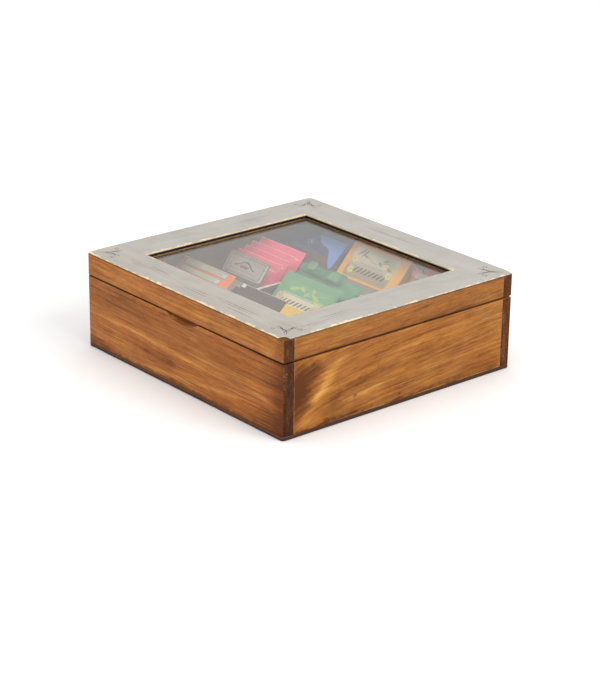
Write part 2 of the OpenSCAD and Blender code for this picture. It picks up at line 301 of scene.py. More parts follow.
    # painted shade at the seam between lid and case, with a painted highlight along the case's top arris below it; the
    # lid rails are darker just under the face sheet and the case boards darker towards the foot
    if lid:
        # painted shade in the seam gap under the lid rails
        col = m.shade(col, 1 - z.step(61.0 if joint else 60.4, 59.9) * 0.66)
        col = m.shade(col, 1 - z.step(76.15, 76.7) * 0.45)
    else:
        # painted highlight along the case's top arris, then painted shade at the seam above it
        rim = z.step(57.2, 57.9) * z.step(58.5, 58.15)
        col = m.shade(col, 1 + rim * 0.16 - z.step(58.3, 58.6) * 0.38)
        foot = (z + soft * 9 + big * 6).step(6.4, 3.2)
        col = m.shade(col, 1 - foot * 0.46)
        if joint:                               # painted highlight: a light line along the bottom arris, where the board's lower edge catches the light
            col = m.mix(col, lin(206, 164, 104), (z + dust * 1.2).step(3.9, 3.4) * blot.step(-0.10, 0.05) * L.step(-75, -45) * 0.6)
    if scoop:                                   # inside the thumb notch the colour is lightened as painted light, and darkened just under the lid as painted shadow
        notch_light_and_shade = (y + 113.7).step(0.0, 0.4) * z.step(50, 51)
        col = m.mix(col, m.shade(col, 1.45), notch_light_and_shade)
        col = m.shade(col, 1 - notch_light_and_shade * z.step(56.6, 58.0) * 0.6)
    nx, ny, nz = m.split(m.coord("Normal"))
    # faces turned into the box are darkened: painted shade of the closed interior, together with a darker stain inside
    if inner:
        axis, sign = inner
        n = (nx if axis == "x" else ny) * sign
        col = m.shade(col, 1 - n.step(0.4, 0.9) * 0.77)
    # end grain takes more stain
    e = (nx if grain == "X" else ny).abs().step(0.55, 0.92)
    spk = m.noise(m.vec(x / 1.0, y / 1.0, z / 1.3), 1, 4, 0.7)
    cloud = m.noise(m.vec(x / 5, y / 5, z / 14 + seed), 1, 3, 0.6)
    q = (spk - 0.5) * 1.7 + (cloud - 0.5) * 1.5 + 0.46 - late * 0.10
    endc = m.ramp(q.clamp(), [(0.15, lin(52 * ends, 26 * ends, 10 * ends)), (0.5, lin(76 * ends, 42 * ends, 20 * ends)),
                              (0.72, lin(94 * ends, 60 * ends, 38 * ends)), (0.9, lin(122 * ends, 104 * ends, 78 * ends))])
    if joint:                                   # the glue line shows a little lighter
        col = m.mix(col, lin(196, 150, 112), L.abs().step(joint - 0.75, joint - 0.3) * (0.26 + soft * 1.2).clamp() * (1 - e))
    edge = z.step(8, 3) * 0.25
    col = m.mix(col, m.shade(endc, 1 - edge), e * 0.95)
    m.set("Base Color", col)
    m.set("Roughness", (0.5 + mid * 0.3 + e * 0.18 + pore * 0.1).clamp())
    m.set("Specular IOR Level", 0.11)
    h = fine * 0.5 + hair * 0.3 + fib * 0.3 - pore * 0.6 + late * 0.2
    m.set("Normal", m.bump(h, 0.22, 0.00022))
    return m.mat


def dark_wood(name, base=(74, 48, 30), top=(112, 78, 50), axis="X", ply_edge_light_and_shade=False, worn=None, foot=False):
    """Dark stained ply or moulding; some edges carry painted light and shade."""
    m = Mat(name)
    x, y, z = m.xyz()
    L, A = (x, y) if axis == "X" else (y, x)
    n1 = m.noise(m.vec(L / 40, A / 3, z / 1.2), 1, 3, 0.6)
    n2 = m.noise(m.vec(L / 8, A / 0.5, z / 0.5), 1, 3, 0.65)
    n3 = m.noise(m.vec(x / 9, y / 9, z / 2), 1, 4, 0.65)
    g = n1 * 0.6 + n2 * 0.4
    col = m.ramp(g.clamp(), [(0.25, lin(*base)), (0.75, lin(*top))])
    if ply_edge_light_and_shade:                                  # the ply's inner edge is near-black above as painted shade of the window recess and lighter towards the glass as painted light; its lower faces are brown
        nx, ny, nz = m.split(m.coord("Normal"))
        low = (z + (n3 - 0.5) * 0.6).step(76.05, 75.6)
        col = m.mix(col, m.mix(lin(66, 42, 24), lin(92, 62, 38), g.clamp()), low * 0.92)
        wall = m.mix(lin(26, 14, 6), lin(58, 44, 32), z.step(75.5, 74.9))
        col = m.mix(col, m.shade(wall, 0.9 + g * 0.2), nz.abs().step(0.8, 0.35) * 0.95)
    nx, ny, nz = m.split(m.coord("Normal"))
    if foot:
        # along the front the panel's edge is lighter above and dark below, painted light above and painted shade below;
        # at the side a painted highlight runs along its top
        front = ny.step(-0.5, -0.9)
        side = nx.step(0.5, 0.9)
        up = (z + (n3 - 0.5) * 3.0).step(1.0, 2.4)
        col = m.mix(col, lin(112, 64, 33), front * up * 0.85)
        col = m.mix(col, lin(120, 84, 40), side * (z + (n3 - 0.5) * 1.4).step(2.5, 2.9) * 0.7)
    if worn is not None:
        # the upper arris has rubbed lighter
        col = m.mix(col, lin(150, 116, 78), (z + (n3 - 0.5) * 1.6).step(worn - 0.7, worn - 0.1) * nz.step(0.9, 0.4) * 0.45)
    m.set("Base Color", col)
    m.set("Roughness", (0.56 + (n2 - 0.5) * 0.3).clamp())
    m.set("Specular IOR Level", 0.22)
    m.set("Normal", m.bump(n2, 0.25, 0.0002))
    return m.mat


def washed(name):
    """Pale wash over wood, brushed along each member, rubbed through at the edges."""
    m = Mat(name)
    x, y, z = m.xyz()
    edge = m.attr("edge")            # millimetres from the nearest edge
    rub = m.attr("rub")              # how much that edge is rubbed
    side = (x.abs() - 86.5).max(0.0).step(0.0, 4.0) * (y.abs() + 2.0).step(83.0, 80.0)
    s1 = m.noise(m.vec(x / 30, y / 0.9, z), 1, 3, 0.62)
    s2 = m.noise(m.vec(x / 0.9, y / 30, z), 1, 3, 0.62)
    streak = s1 + (s2 - s1) * side
    b1 = m.noise(m.vec(x / 70, y / 7, z), 1, 3, 0.6)
    b2 = m.noise(m.vec(x / 7, y / 70, z), 1, 3, 0.6)
    band = b1 + (b2 - b1) * side
    cloud = m.noise(m.vec(x / 26, y / 26, z / 9 + 4), 1, 3, 0.55)
    g = 0.5 + (streak - 0.5) * 0.50 + (band - 0.5) * 0.55 + (cloud - 0.5) * 0.6
    col = m.ramp(g.clamp(), [(0.2, lin(158, 153, 146)), (0.5, lin(172, 167, 160)), (0.8, lin(182, 178, 172))])
    # the wash is a little warmer towards the front
    col = m.mix(col, m.mix(col, (1.0, 0.965, 0.945, 1), 1.0, "MULTIPLY"), y.step(-60, -110) * 0.8)
    # thin dark scratches where the wash missed the grain
    l1 = m.noise(m.vec(x / 17 + 5, y / 0.32, z), 1, 2, 0.5)
    l2 = m.noise(m.vec(x / 0.32, y / 17 + 5, z), 1, 2, 0.5)
    line = (l1 + (l2 - l1) * side).step(0.70, 0.78) * cloud.step(0.42, 0.62)
    col = m.mix(col, lin(104, 98, 90), line * 0.6)
    speck = m.noise(m.vec(x / 1.4 + 9, y / 1.4, z), 1, 2, 0.5).step(0.76, 0.82)
    col = m.mix(col, lin(120, 108, 92), speck * 0.5)
    # rubbed edge: cream, then golden raw wood, along a ragged border
    rag = m.noise(m.vec(x / 9.5, y / 9.5, z / 3 + 2), 1, 4, 0.65)
    rag2 = m.noise(m.vec(x / 1.3, y / 1.3, z / 1.3), 1, 3, 0.6)
    reach = (rag - 0.5) * 22.0 * rub + rub * 1.35 + (rag2 - 0.5) * 1.4 - 0.15
    worn = (reach - edge).step(-0.5, 0.9)
    gold = (reach * 0.5 - 0.6 - edge).step(-0.3, 0.5) * (1 - (y.abs() - 104).step(0, 2).max((x.abs() - 110).step(0, 2)) * 0.75)
    col = m.mix(col, lin(226, 210, 174), worn * 0.94)
    col = m.mix(col, lin(198, 154, 92), gold * 0.75)
    # the side of the sheet: raw wood where rubbed, elsewhere the wash darkened as painted shade; outside it turns dark
    # along its lower part, and round the window it is cream above and near-black below as painted shade of the recess
    nx, ny, nz = m.split(m.coord("Normal"))
    sidef = nz.abs().step(0.80, 0.35)
    raw = m.ramp((rag2 * 0.6 + rag * 0.5).clamp(), [(0.3, lin(132, 106, 70)), (0.7, lin(200, 182, 144))])
    # painted shade: the unrubbed side takes the wash colour darkened
    raw = m.mix(m.shade(col, 0.62), raw, (rub * 1.1 - (rag - 0.5) * 0.8).clamp())
    outside = (x.abs() - 110).step(0, 2).max((y.abs() - 104).step(0, 2))
    raw = m.mix(raw, lin(46, 34, 20), (z + (rag2 - 0.5) * 0.5).step(77.45, 77.15) * 0.9 * outside)
    cream = m.mix(lin(206, 180, 138), lin(196, 190, 178), rag.step(0.42, 0.60))
    # round the window: cream raw wood above, near-black painted shade of the recess below
    raw = m.mix(raw, m.mix(cream, lin(30, 18, 8), (z + (rag2 - 0.5) * 0.5).step(77.0, 76.75)), 1 - outside)
    col = m.mix(col, raw, sidef)
    m.set("Base Color", col)
    m.set("Roughness", (0.58 + (streak - 0.5) * 0.25 + worn * 0.1).clamp())
    m.set("Specular IOR Level", 0.24)
    m.set("Normal", m.bump(streak * 0.8 + band * 0.3 - worn * 0.6 - line * 0.5, 0.25, 0.00018))
    return m.mat


def ink(name):
    """Thin grey printing on the wash, partly rubbed away."""
    m = Mat(name)
    x, y, z = m.xyz()
    n = m.noise(m.vec(x / 3.2, y / 3.2, z), 1, 3, 0.6)
    f = m.noise(m.vec(x / 0.8, y / 0.8, z), 1, 2, 0.6)
    keep = (n * 0.7 + f * 0.4).step(0.38, 0.58)
    col = m.mix(lin(160, 155, 147), lin(66, 61, 54), keep * 0.92)
    m.set("Base Color", col)
    m.set("Roughness", (0.6 + (f - 0.5) * 0.2).clamp())
    m.set("Specular IOR Level", 0.3)
    return m.mat


def metal(name, base, dull, rough=0.32, axis="X"):
    m = Mat(name)
    x, y, z = m.xyz()
    a = m.noise(m.vec(x / 6, y / 6, z / 6), 1, 4, 0.6)
    b = m.noise(m.vec(x / (9 if axis == "X" else 0.3), y / 0.3, z / 0.3), 1, 2, 0.6)
    col = m.mix(lin(*base), lin(*dull), a.step(0.4, 0.75) * 0.7 + (b - 0.5) * 0.25)
    m.set("Base Color", col)
    m.set("Metallic", 1.0)
    m.set("Roughness", (rough + (a - 0.5) * 0.3 + (b - 0.5) * 0.18).clamp())
    m.set("Normal", m.bump(b, 0.12, 0.00008))
    return m.mat


def glass(name):
    """Clear pane with a little dust, let through by lamps."""
    m = Mat(name)
    m.nt.nodes.remove(m.bsdf)
    x, y, z = m.xyz()
    g = m.new("ShaderNodeBsdfGlass")
    g.inputs["IOR"].default_value = 1.46
    g.inputs["Roughness"].default_value = 0.0
    g.inputs["Color"].default_value = (0.975, 0.97, 0.955, 1)
    dust = m.new("ShaderNodeBsdfDiffuse")
    dust.inputs["Color"].default_value = (0.80, 0.79, 0.77, 1)
    n1 = m.noise(m.vec(x / 30, y / 30, z), 1, 4, 0.6)
    n2 = m.noise(m.vec(x / 0.9, y / 0.9, z), 1, 2, 0.6)
    n3 = m.noise(m.vec(x / 7, y / 7, z), 1, 3, 0.6)
    rim = ((x.abs() - 86.3).max(y.abs() - 81.1) + (n3 - 0.5) * 3.0).step(-6.0, -0.5)
    m.put(dust.inputs["Color"], m.mix((0.80, 0.79, 0.77, 1), lin(150, 118, 88), (rim * 8).clamp()))
    fac = n1.step(0.3, 0.8) * 0.02 + n2.step(0.72, 0.8) * 0.03 + rim * 0.26
    mixed = m.new("ShaderNodeMixShader")
    m.put(mixed.inputs[0], fac)
    m.nt.links.new(g.outputs[0], mixed.inputs[1])
    m.nt.links.new(dust.outputs[0], mixed.inputs[2])
    clear = m.new("ShaderNodeBsdfTransparent")
    clear.inputs["Color"].default_value = (0.97, 0.97, 0.96, 1)
    path = m.new("ShaderNodeLightPath")
    last = m.new("ShaderNodeMixShader")
    m.nt.links.new(path.outputs["Is Shadow Ray"], last.inputs[0])
    m.nt.links.new(mixed.outputs[0], last.inputs[1])
    m.nt.links.new(clear.outputs[0], last.inputs[2])
    m.nt.links.new(last.outputs[0], m.out.inputs[0])
    return m.mat


# ------------------------------------------------------------------ mesh helpers


def new_object(name, mesh, mat, body, nodes=()):
    ob = bpy.data.objects.new(name, mesh)
    scene.collection.objects.link(ob)
    mesh.materials.clear()
    mesh.materials.append(mat)
    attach(ob, body)
    if nodes:
        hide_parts(*nodes)
    return ob


BORES = [(s * 75 + k * 9.5, 107.3, 1.9) for s in (-1, 1) for k in (-1, 1)] + \
    [(x, s * 109, 1.7) for s in (-1, 1) for x in (-90, 0, 90)] + \
    [(s * 115, y, 1.7) for s in (-1, 1) for y in (-50, 50)]


def softened(node, width=0.28, segments=3, angle=24):
    """A copy of a CAD node's mesh with its arrises rounded."""
    bm = bmesh.new()
    bm.from_mesh(NODES[node].data)
    bmesh.ops.remove_doubles(bm, verts=bm.verts[:], dist=2e-6)
    bmesh.ops.dissolve_limit(bm, angle_limit=math.radians(0.6), verts=bm.verts[:], edges=bm.edges[:], use_dissolve_boundaries=False)
    picked = []
    for e in bm.edges:
        if len(e.link_faces) != 2 or e.calc_face_angle(0) < math.radians(angle):
            continue
        near = False
        for (bx, by, br) in BORES:
            if all(math.hypot(v.co.x / MM - bx, v.co.y / MM - by) < br for v in e.verts):
                near = True
                break
        if node in ("back_board", "lid_back_rail") and all(
                abs(abs(v.co.x / MM) - 75) < 18 and v.co.y / MM > 98 and v.co.z / MM > 48 for v in e.verts):
            near = True    # the hinge leaves' cut-outs stay crisp
        if not near:
            picked.append(e)
    bmesh.ops.bevel(bm, geom=picked, offset=width * MM, offset_type="OFFSET", segments=segments,
                    profile=0.5, affect="EDGES", clamp_overlap=False, miter_outer="SHARP", miter_inner="SHARP")
    bmesh.ops.remove_doubles(bm, verts=bm.verts[:], dist=2e-6)
    bmesh.ops.triangulate(bm, faces=[f for f in bm.faces if len(f.verts) > 4])
    bmesh.ops.recalc_face_normals(bm, faces=bm.faces[:])
    me = bpy.data.meshes.new(node + "_worn")
    bm.to_mesh(me)
    bm.free()
    me.polygons.foreach_set("use_smooth", [True] * len(me.polygons))
    me.set_sharp_from_angle(angle=math.radians(32))
    flatten_shading(me)
    return me


def flatten_shading(me):
    """Corner normals weighted by face area, so that the flat faces shade flat right up to their rounded arrises."""
    me.update()
    around = [[] for _ in me.vertices]
    info = []
    for p in me.polygons:
        info.append((p.normal.copy(), p.area))
        for v in p.vertices:
            around[v].append(p.index)
    normals = [Vector((0, 0, 1))] * len(me.loops)
    for p in me.polygons:
        n0 = info[p.index][0]
        for li in p.loop_indices:
            n = Vector((0, 0, 0))
            for q in around[me.loops[li].vertex_index]:
                if info[q][0].dot(n0) > 0.76:
                    n += info[q][0] * info[q][1]
            normals[li] = n.normalized() if n.length > 0 else n0
    me.normals_split_custom_set(normals)


# ------------------------------------------------------------------ wooden parts

front_mat = wood("stained_front", "X", seed=3.1, slope=-1.0, pith=(16, -165), spacing=3.4, inner=("y", 1),
                 contrast=0.9, patchy=0.24, ends=0.95, scoop=True, tone=(0.90, 0.88, 0.90), feats=[
    (-52, 30.0, 42, 1.9, -2.2, 0.30, 0), (-48, 33.2, 30, 1.0, -2.0, 0.18, 0), (-100, 29.5, 22, 2.0, 0, 0.18, 0),
    (12, 27.2, 34, 1.1, -2.6, 0.20, 0), (-10, 9.0, 36, 2.6, 5.5, 0.28, 0), (-14, 13.8, 30, 1.1, 5.0, 0.16, 0),
    (58, 16.0, 30, 1.4, 5.0, 0.20, 0), (-92, 13, 30, 2.0, 3, 0.14, 0), (92, 26.5, 16, 2.6, -6, 0.22, 0),
    (40, 33, 34, 1.2, -2, 0.12, 0), (-70, 47, 60, 8.0, -1, -0.10, 0), (62, 43, 55, 7.0, -2, -0.07, 0),
    (-30, 20.5, 70, 3.0, 1, -0.07, 0), (126, 30, 24, 80, 0, -0.28, 0), (121, 22, 12, 60, 0, -0.14, 2), (108, 5, 28, 12, 8, -0.22, 2), (-112, 6, 26, 5, 4, -0.16, 2)])
right_mat = wood("stained_right", "Y", seed=8.4, slope=2.4, pith=(70, 85), spacing=3.0, gold=0.02, run=0.62, thin=0.8, patchy=0.42,
                 contrast=1.1, tone=(0.765, 0.79, 0.70), inner=("x", -1), swirl=(-104, 38, 16), joint=104, feats=[
    (-93, 44, 17, 12, 30, -0.36, 2), (-99, 27, 11, 15, 60, -0.34, 2), (-107, 30, 12, 44, 0, -0.26, 0), (-70, 12, 16, 9, 20, -0.12, 2), (-98, 2.5, 12, 3, 0, -0.14, 0),
    (-94, 12, 11, 4.2, 50, 0.20, 0), (-82, 25, 12, 5.4, 47, 0.20, 0), (-72, 37, 11, 5.6, 50, 0.21, 0), (-62, 48, 11, 4.5, 40, 0.16, 0),
    (-79, 29, 24, 3.0, 49, 0.10, 2), (-83, 8, 9, 4.5, 0, 0.14, 0), (-74, 6, 3.6, 2.6, 0, -0.22, 2), (-64, 21, 9, 6, 60, -0.17, 2),
    (-45, 28, 17, 4.0, 14, -0.19, 2), (-38, 19, 22, 2.2, 8, 0.20, 0), (-26, 36, 24, 1.7, 13, 0.14, 0), (-58, 50, 18, 1.8, 12, 0.12, 0),
    (-4, 14, 16, 5, 6, -0.10, 2), (38, 36, 22, 6, 4, -0.09, 2), (64, 46, 22, 4, 4, 0.10, 0),
    (10, 44, 34, 1.6, 5, 0.12, 0), (30, 22, 40, 1.4, 4, 0.12, 0), (82, 12, 22, 6, 0, -0.10, 2), (76, 30, 30, 1.2, 3, -0.16, 0),
    (-6, 30, 40, 1.4, 6, -0.12, 0), (10, 5, 90, 2.4, 0, -0.10, 0), (-44.8, 18.1, 1.5, 0.8, 0, -0.5, 0), (-0.8, 8.0, 1.3, 0.7, 0, -0.4, 0)])
left_mat = wood("stained_left", "Y", tone=(0.90, 0.88, 0.84), seed=21.7, slope=-2.0, pith=(12, -170), spacing=3.3, inner=("x", 1), joint=104,
                run=0.7, patchy=0.4, feats=[
    (-40, 40, 50, 3, 3, 0.2, 0), (55, 18, 40, 3, -3, 0.2, 0), (30, 34, 2.0, 1.2, 0, -0.5, 0), (80, 44, 22, 10, 0, -0.25, 2)])
back_mat = wood("stained_back", "X", tone=(0.90, 0.88, 0.84), seed=33.3, slope=1.2, pith=(44, 175), spacing=3.6, inner=("y", -1), ends=1.05, feats=[
    (60, 22, 50, 3, 3, 0.2, 0), (-70, 38, 44, 4, -3, 0.2, 0), (-20, 14, 2.2, 1.3, 0, -0.5, 0), (0, 50, 60, 6, 0, -0.10, 0),
    (-122, 30, 14, 70, 0, -0.22, 2)])
rail_front = wood("stained_lid_front", "X", seed=12.9, slope=-0.8, pith=(40, -150), spacing=2.6,
                  contrast=0.75, inner=("y", 1), lid=True, tone=(0.99, 1.03, 1.06), feats=[
    (-60, 68, 60, 2, -1, 0.12, 0), (40, 66, 50, 1.4, 0, 0.10, 0), (60, 72, 50, 2, 0, -0.08, 0), (121, 68, 9, 30, 0, -0.2, 2)])
rail_right = wood("stained_lid_right", "Y", seed=16.2, slope=2.5, pith=(92, 150), spacing=2.8, run=0.5, patchy=0.34,
                  contrast=0.8, inner=("x", -1), lid=True, tone=(0.69, 0.73, 0.73), joint=104, feats=[
    (-50, 68, 40, 2.6, 2, 0.10, 0), (60, 64, 40, 2, 2, -0.10, 0), (-90, 70, 14, 4, 0, 0.08, 0), (0, 61, 120, 2.5, 0, -0.10, 0)])
rail_left = wood("stained_lid_left", "Y", tone=(0.93, 0.93, 0.92), seed=44.2, slope=-2.0, pith=(30, -150), spacing=2.8, contrast=0.8,
                 inner=("x", 1), lid=True, joint=104)
rail_back = wood("stained_lid_back", "X", tone=(0.93, 0.93, 0.92), seed=51.8, slope=1.0, pith=(98, 150), spacing=2.7, contrast=0.8,
                 inner=("y", -1), lid=True)
base_mat = dark_wood("dark_base", (46, 28, 16), (78, 50, 30), "X", foot=True)
ply_mat = dark_wood("dark_ply", (20, 10, 4), (44, 26, 12), "X", ply_edge_light_and_shade=True)
strip_mat = dark_wood("raw_strip", (206, 172, 126), (234, 206, 164), "Y")
slat_x = dark_wood("slat_across", (42, 28, 19), (74, 52, 34), "X", worn=46)
slat_y = dark_wood("slat_along", (42, 28, 19), (74, 52, 34), "Y", worn=46)

for node, mat, body, slot in (
        ("front_board", front_mat, "case", "case_wood"), ("back_board", back_mat, "case", "case_wood"),
        ("left_side_board", left_mat, "case", "case_wood"), ("right_side_board", right_mat, "case", "case_wood"),
        ("base_panel", base_mat, "case", "dark_wood"),
        ("lid_front_rail", rail_front, "lid", "lid_wood"), ("lid_back_rail", rail_back, "lid", "lid_wood"),
        ("lid_left_rail", rail_left, "lid", "lid_wood"), ("lid_right_rail", rail_right, "lid", "lid_wood"),
        ("divider_across_front", slat_x, "case", "divider_wood"), ("divider_across_back", slat_x, "case", "divider_wood"),
        ("divider_left", slat_y, "case", "divider_wood"), ("divider_right", slat_y, "case", "divider_wood")):
    width = 0.22 if node.startswith("divider") else 0.28
    new_object(node + "_worn", softened(node, width), mat, body, [node])

brass = metal("hinge_brass_aged", (222, 186, 112), (150, 112, 62), 0.3)
steel = metal("pin_steel_worn", (198, 198, 200), (120, 118, 116), 0.34)
pane = glass("window_pane")
for node, mat in (("base_brads", steel), ("hinge_left_pin", steel), ("hinge_right_pin", steel),
                  ("hinge_left_case_leaf", brass), ("hinge_right_case_leaf", brass),
                  ("hinge_left_lid_leaf", brass), ("hinge_right_lid_leaf", brass),
                  ("hinge_case_screws", brass), ("hinge_lid_screws", brass),
                  ("lid_ply_panel", ply_mat), ("window_glass", pane),
                  ("glazing_strip_front", strip_mat), ("glazing_strip_back", strip_mat),
                  ("glazing_strip_left", strip_mat), ("glazing_strip_right", strip_mat)):
    o = NODES[node]
    for i in range(max(1, len(o.material_slots))):
        if not o.material_slots:
            o.data.materials.append(mat)
        o.material_slots[i].material = mat

# ------------------------------------------------------------------ washed face sheet

HX, HY, WX, WY = 120.0, 114.0, 86.5, 81.3
TOP = 77.95


def arc(cx, cy, r, a0, a1, n):
    return [(cx + r * math.cos(math.radians(a0 + (a1 - a0) * k / n)),
             cy + r * math.sin(math.radians(a0 + (a1 - a0) * k / n))) for k in range(n + 1)]


def loop(hx, hy, r, bite=None, per_side=(150, 142)):
    """Points round a rectangle with rounded corners, the same count whatever its size.

    bite is how far the loop keeps from the near front corner, which has lost its tip.
    """
    pts = []
    for i, (sx, sy, a0) in enumerate([(1, -1, -90), (1, 1, 0), (-1, 1, 90), (-1, -1, 180)]):
        if i == 0 and bite is not None:
            bx, by = HX - 6.2 - bite, -HY + 5.6 + bite
            ro = max(0.9 - bite * 0.7, 0.25)
            ri = min(2.4 + bite, by + hy - ro - 0.1, hx - bx - ro - 0.1)
            turn = arc(bx - ro, -hy + ro, ro, -90, 0, 4) + arc(bx + ri, by - ri, ri, 180, 90, 4)
            turn += arc(hx - ro, by + ro, ro, -90, 0, 4)
        elif i == 0:
            turn = arc(hx - r, -hy + r, r, -90, 0, 14)
        else:
            turn = arc(sx * (hx - r), sy * (hy - r), r, a0, a0 + 90, 8)
        if pts:
            x0, y0 = pts[-1]
            n = per_side[i % 2]
            pts += [(x0 + (turn[0][0] - x0) * k / n, y0 + (turn[0][1] - y0) * k / n) for k in range(1, n)]
        pts += turn
    x0, y0 = pts[-1]
    n = per_side[0]
    pts += [(x0 + (pts[0][0] - x0) * k / n, y0 + (pts[0][1] - y0) * k / n) for k in range(1, n)]
    return pts


def rag(x, y, s, seed):
    return noise.noise(Vector((x / s, y / s, seed)))


def rub_at(x, y, inner):
    """How strongly the sheet's edge is rubbed at a place: 0 to 1."""
    if inner:
        v = 0.22
        if x < -70:
            v = 0.80
        elif y > 60:
            v = 0.62
    else:
        v = 0.22
        if y < -100:
            v = 0.78 + 0.40 * max(0.0, min(1.0, (x + 30) / 120))
        if x > 108:
            v = 0.74
    return v * (0.75 + 0.5 * rag(x, y, 37, 3.3))


def face_sheet():
    rings = []      # each: list of (x, y, z, edge distance, rub)
    outer = [(0.25, 76.8, 0.0), (0.05, 76.95, 0.0), (0.0, 77.35, 0.0), (0.10, 77.62, 0.05), (0.34, 77.83, 0.25),
             (0.85, TOP, 0.8), (2.2, TOP, 2.2), (4.0, TOP, 4.0), (8.0, TOP, 8.0)]
    inner = [(8.0, TOP, 8.0), (4.0, TOP, 4.0), (2.0, TOP, 2.0), (0.7, TOP, 0.7), (0.25, 77.84, 0.2), (0.05, 77.62, 0.05),
             (0.0, 77.35, 0.0), (0.0, 76.8, 0.0)]
    for (d, z, e) in outer:
        ring = []
        keep = {2.2: 1.0, 4.0: 1.3, 8.0: None}.get(d, d)
        for i, (x, y) in enumerate(loop(HX - d, HY - d, max(4.5 - d, 0.9), keep)):
            rb = rub_at(x, y, False)
            n = 0.5 + 0.5 * rag(x, y, 6.0, 1.5) + 0.25 * rag(x, y, 1.9, 8.5)
            k = 0.0
            if 0.05 <= d <= 1.0 and z > 77.5:
                k = rb * max(0.0, n) * (0.45 if d < 0.5 else 0.8)
            elif d < 0.31:
                k = 0.08 * max(0.0, n)
            sx = -1 if x > 0 else 1
            sy = -1 if y > 0 else 1
            ax = min(1.0, max(0.0, (abs(x) - (HX - 6)) / 6)) if abs(x) > HX - 6 else 0.0
            ay = min(1.0, max(0.0, (abs(y) - (HY - 6)) / 6)) if abs(y) > HY - 6 else 0.0
            q = math.hypot(ax, ay) or 1.0
            near = keep if i < 15 and keep is not None else e
            ring.append((x + sx * k * ax / q, y + sy * k * ay / q, z, min(e, near), rb))
        rings.append(ring)
    for (d, z, e) in inner:
        ring = []
        for (x, y) in loop(WX + d, WY + d, 0.6 + d):
            rb = rub_at(x, y, True)
            n = 0.5 + 0.5 * rag(x, y, 5.0, 4.5)
            k = rb * max(0.0, n) * 0.6 if (0.02 < d < 1.0 and z > 77.5) else 0.0
            ax = 1.0 if abs(x) > WX - 1.0 and abs(y) < WY else 0.0
            ay = 1.0 if abs(y) > WY - 1.0 and abs(x) < WX else 0.0
            ring.append((x + (1 if x > 0 else -1) * k * ax, y + (1 if y > 0 else -1) * k * ay, z, e, rb))
        rings.append(ring)
    n = len(rings[0])
    verts, faces, edge, rub = [], [], [], []
    for ring in rings:
        for (x, y, z, e, rb) in ring:
            verts.append((x * MM, y * MM, z * MM))
            edge.append(e)
            rub.append(rb)
    for i in range(len(rings)):
        j = (i + 1) % len(rings)
        for k in range(n):
            l = (k + 1) % n
            faces.append((i * n + k, i * n + l, j * n + l, j * n + k))
    me = bpy.data.meshes.new("face_sheet")
    me.from_pydata(verts, [], faces)
    bm = bmesh.new()
    bm.from_mesh(me)
    bmesh.ops.recalc_face_normals(bm, faces=bm.faces[:])
    bm.to_mesh(me)
    bm.free()
    a = me.attributes.new("edge", "FLOAT", "POINT")
    a.data.foreach_set("value", edge)
    a = me.attributes.new("rub", "FLOAT", "POINT")
    a.data.foreach_set("value", rub)
    me.polygons.foreach_set("use_smooth", [True] * len(me.polygons))
    me.set_sharp_from_angle(angle=math.radians(35))
    return me


washed_mat = washed("washed_face")
new_object("lid_face_sheet_worn", face_sheet(), washed_mat, "lid", ["lid_face_sheet"])

# scrolls and hairlines printed on the wash
ink_mat = ink("washed_ink")
Z_INK = 77.972


def ribbon(name, lines):
    """lines: lists of (x, y, width) in millimetres, made into flat ribbons."""
    verts, faces = [], []
    for pts in lines:
        base = len(verts)
        for i, (x, y, w) in enumerate(pts):
            x0, y0, _ = pts[max(0, i - 1)]
            x1, y1, _ = pts[min(len(pts) - 1, i + 1)]
            d = math.hypot(x1 - x0, y1 - y0) or 1.0
            nx, ny = -(y1 - y0) / d, (x1 - x0) / d
            verts.append(((x + nx * w * 0.62) * MM, (y + ny * w * 0.62) * MM, Z_INK * MM))
            verts.append(((x - nx * w * 0.62) * MM, (y - ny * w * 0.62) * MM, Z_INK * MM))
        for i in range(len(pts) - 1):
            a = base + 2 * i
            faces.append((a, a + 1, a + 3, a + 2))
    me = bpy.data.meshes.new(name)
    me.from_pydata(verts, [], faces)
    bm = bmesh.new()
    bm.from_mesh(me)
    for f in bm.faces:
        if f.normal.z < 0:
            f.normal_flip()
    bm.to_mesh(me)
    bm.free()
    return new_object(name, me, ink_mat, "lid")


def spiral(cx, cy, r0, r1, a0, turns, w0, w1, n=40):
    out = []
    for i in range(n + 1):
        t = i / n
        a = math.radians(a0 + 360 * turns * t)
        r = r0 + (r1 - r0) * t
        out.append((cx + r * math.cos(a), cy + r * math.sin(a), w0 + (w1 - w0) * math.sin(math.pi * min(1, t * 1.1)) ** 0.8))
    return out


def bez(p0, p1, p2, p3, w0, w1, n=24):
    out = []
    for i in range(n + 1):
        t = i / n
        u = 1 - t
        x = u ** 3 * p0[0] + 3 * u * u * t * p1[0] + 3 * u * t * t * p2[0] + t ** 3 * p3[0]
        y = u ** 3 * p0[1] + 3 * u * u * t * p1[1] + 3 * u * t * t * p2[1] + t ** 3 * p3[1]
        out.append((x, y, w0 + (w1 - w0) * math.sin(math.pi * t)))
    return out


def corner_scroll(sx, sy):
    """A plain leaf scroll that mirrors about the corner's diagonal."""
    base = [
        bez((7, 7), (10, 14), (17, 15), (23, 10.5), 0.12, 0.62),
        spiral(22.0, 8.6, 2.1, 0.5, 80, -1.1, 0.15, 0.5, 26),
        bez((9.5, 11), (13, 17.5), (15, 20.5), (14.2, 24.5), 0.12, 0.5),
        bez((15.5, 12.6), (18.5, 14.6), (21, 15), (24.5, 13.6), 0.1, 0.42),
    ]
    out = []
    for line in base:
        out.append([(sx * (HX - a), sy * (HY - b), w) for a, b, w in line])
        out.append([(sx * (HX - b), sy * (HY - a), w) for a, b, w in line])
    return out


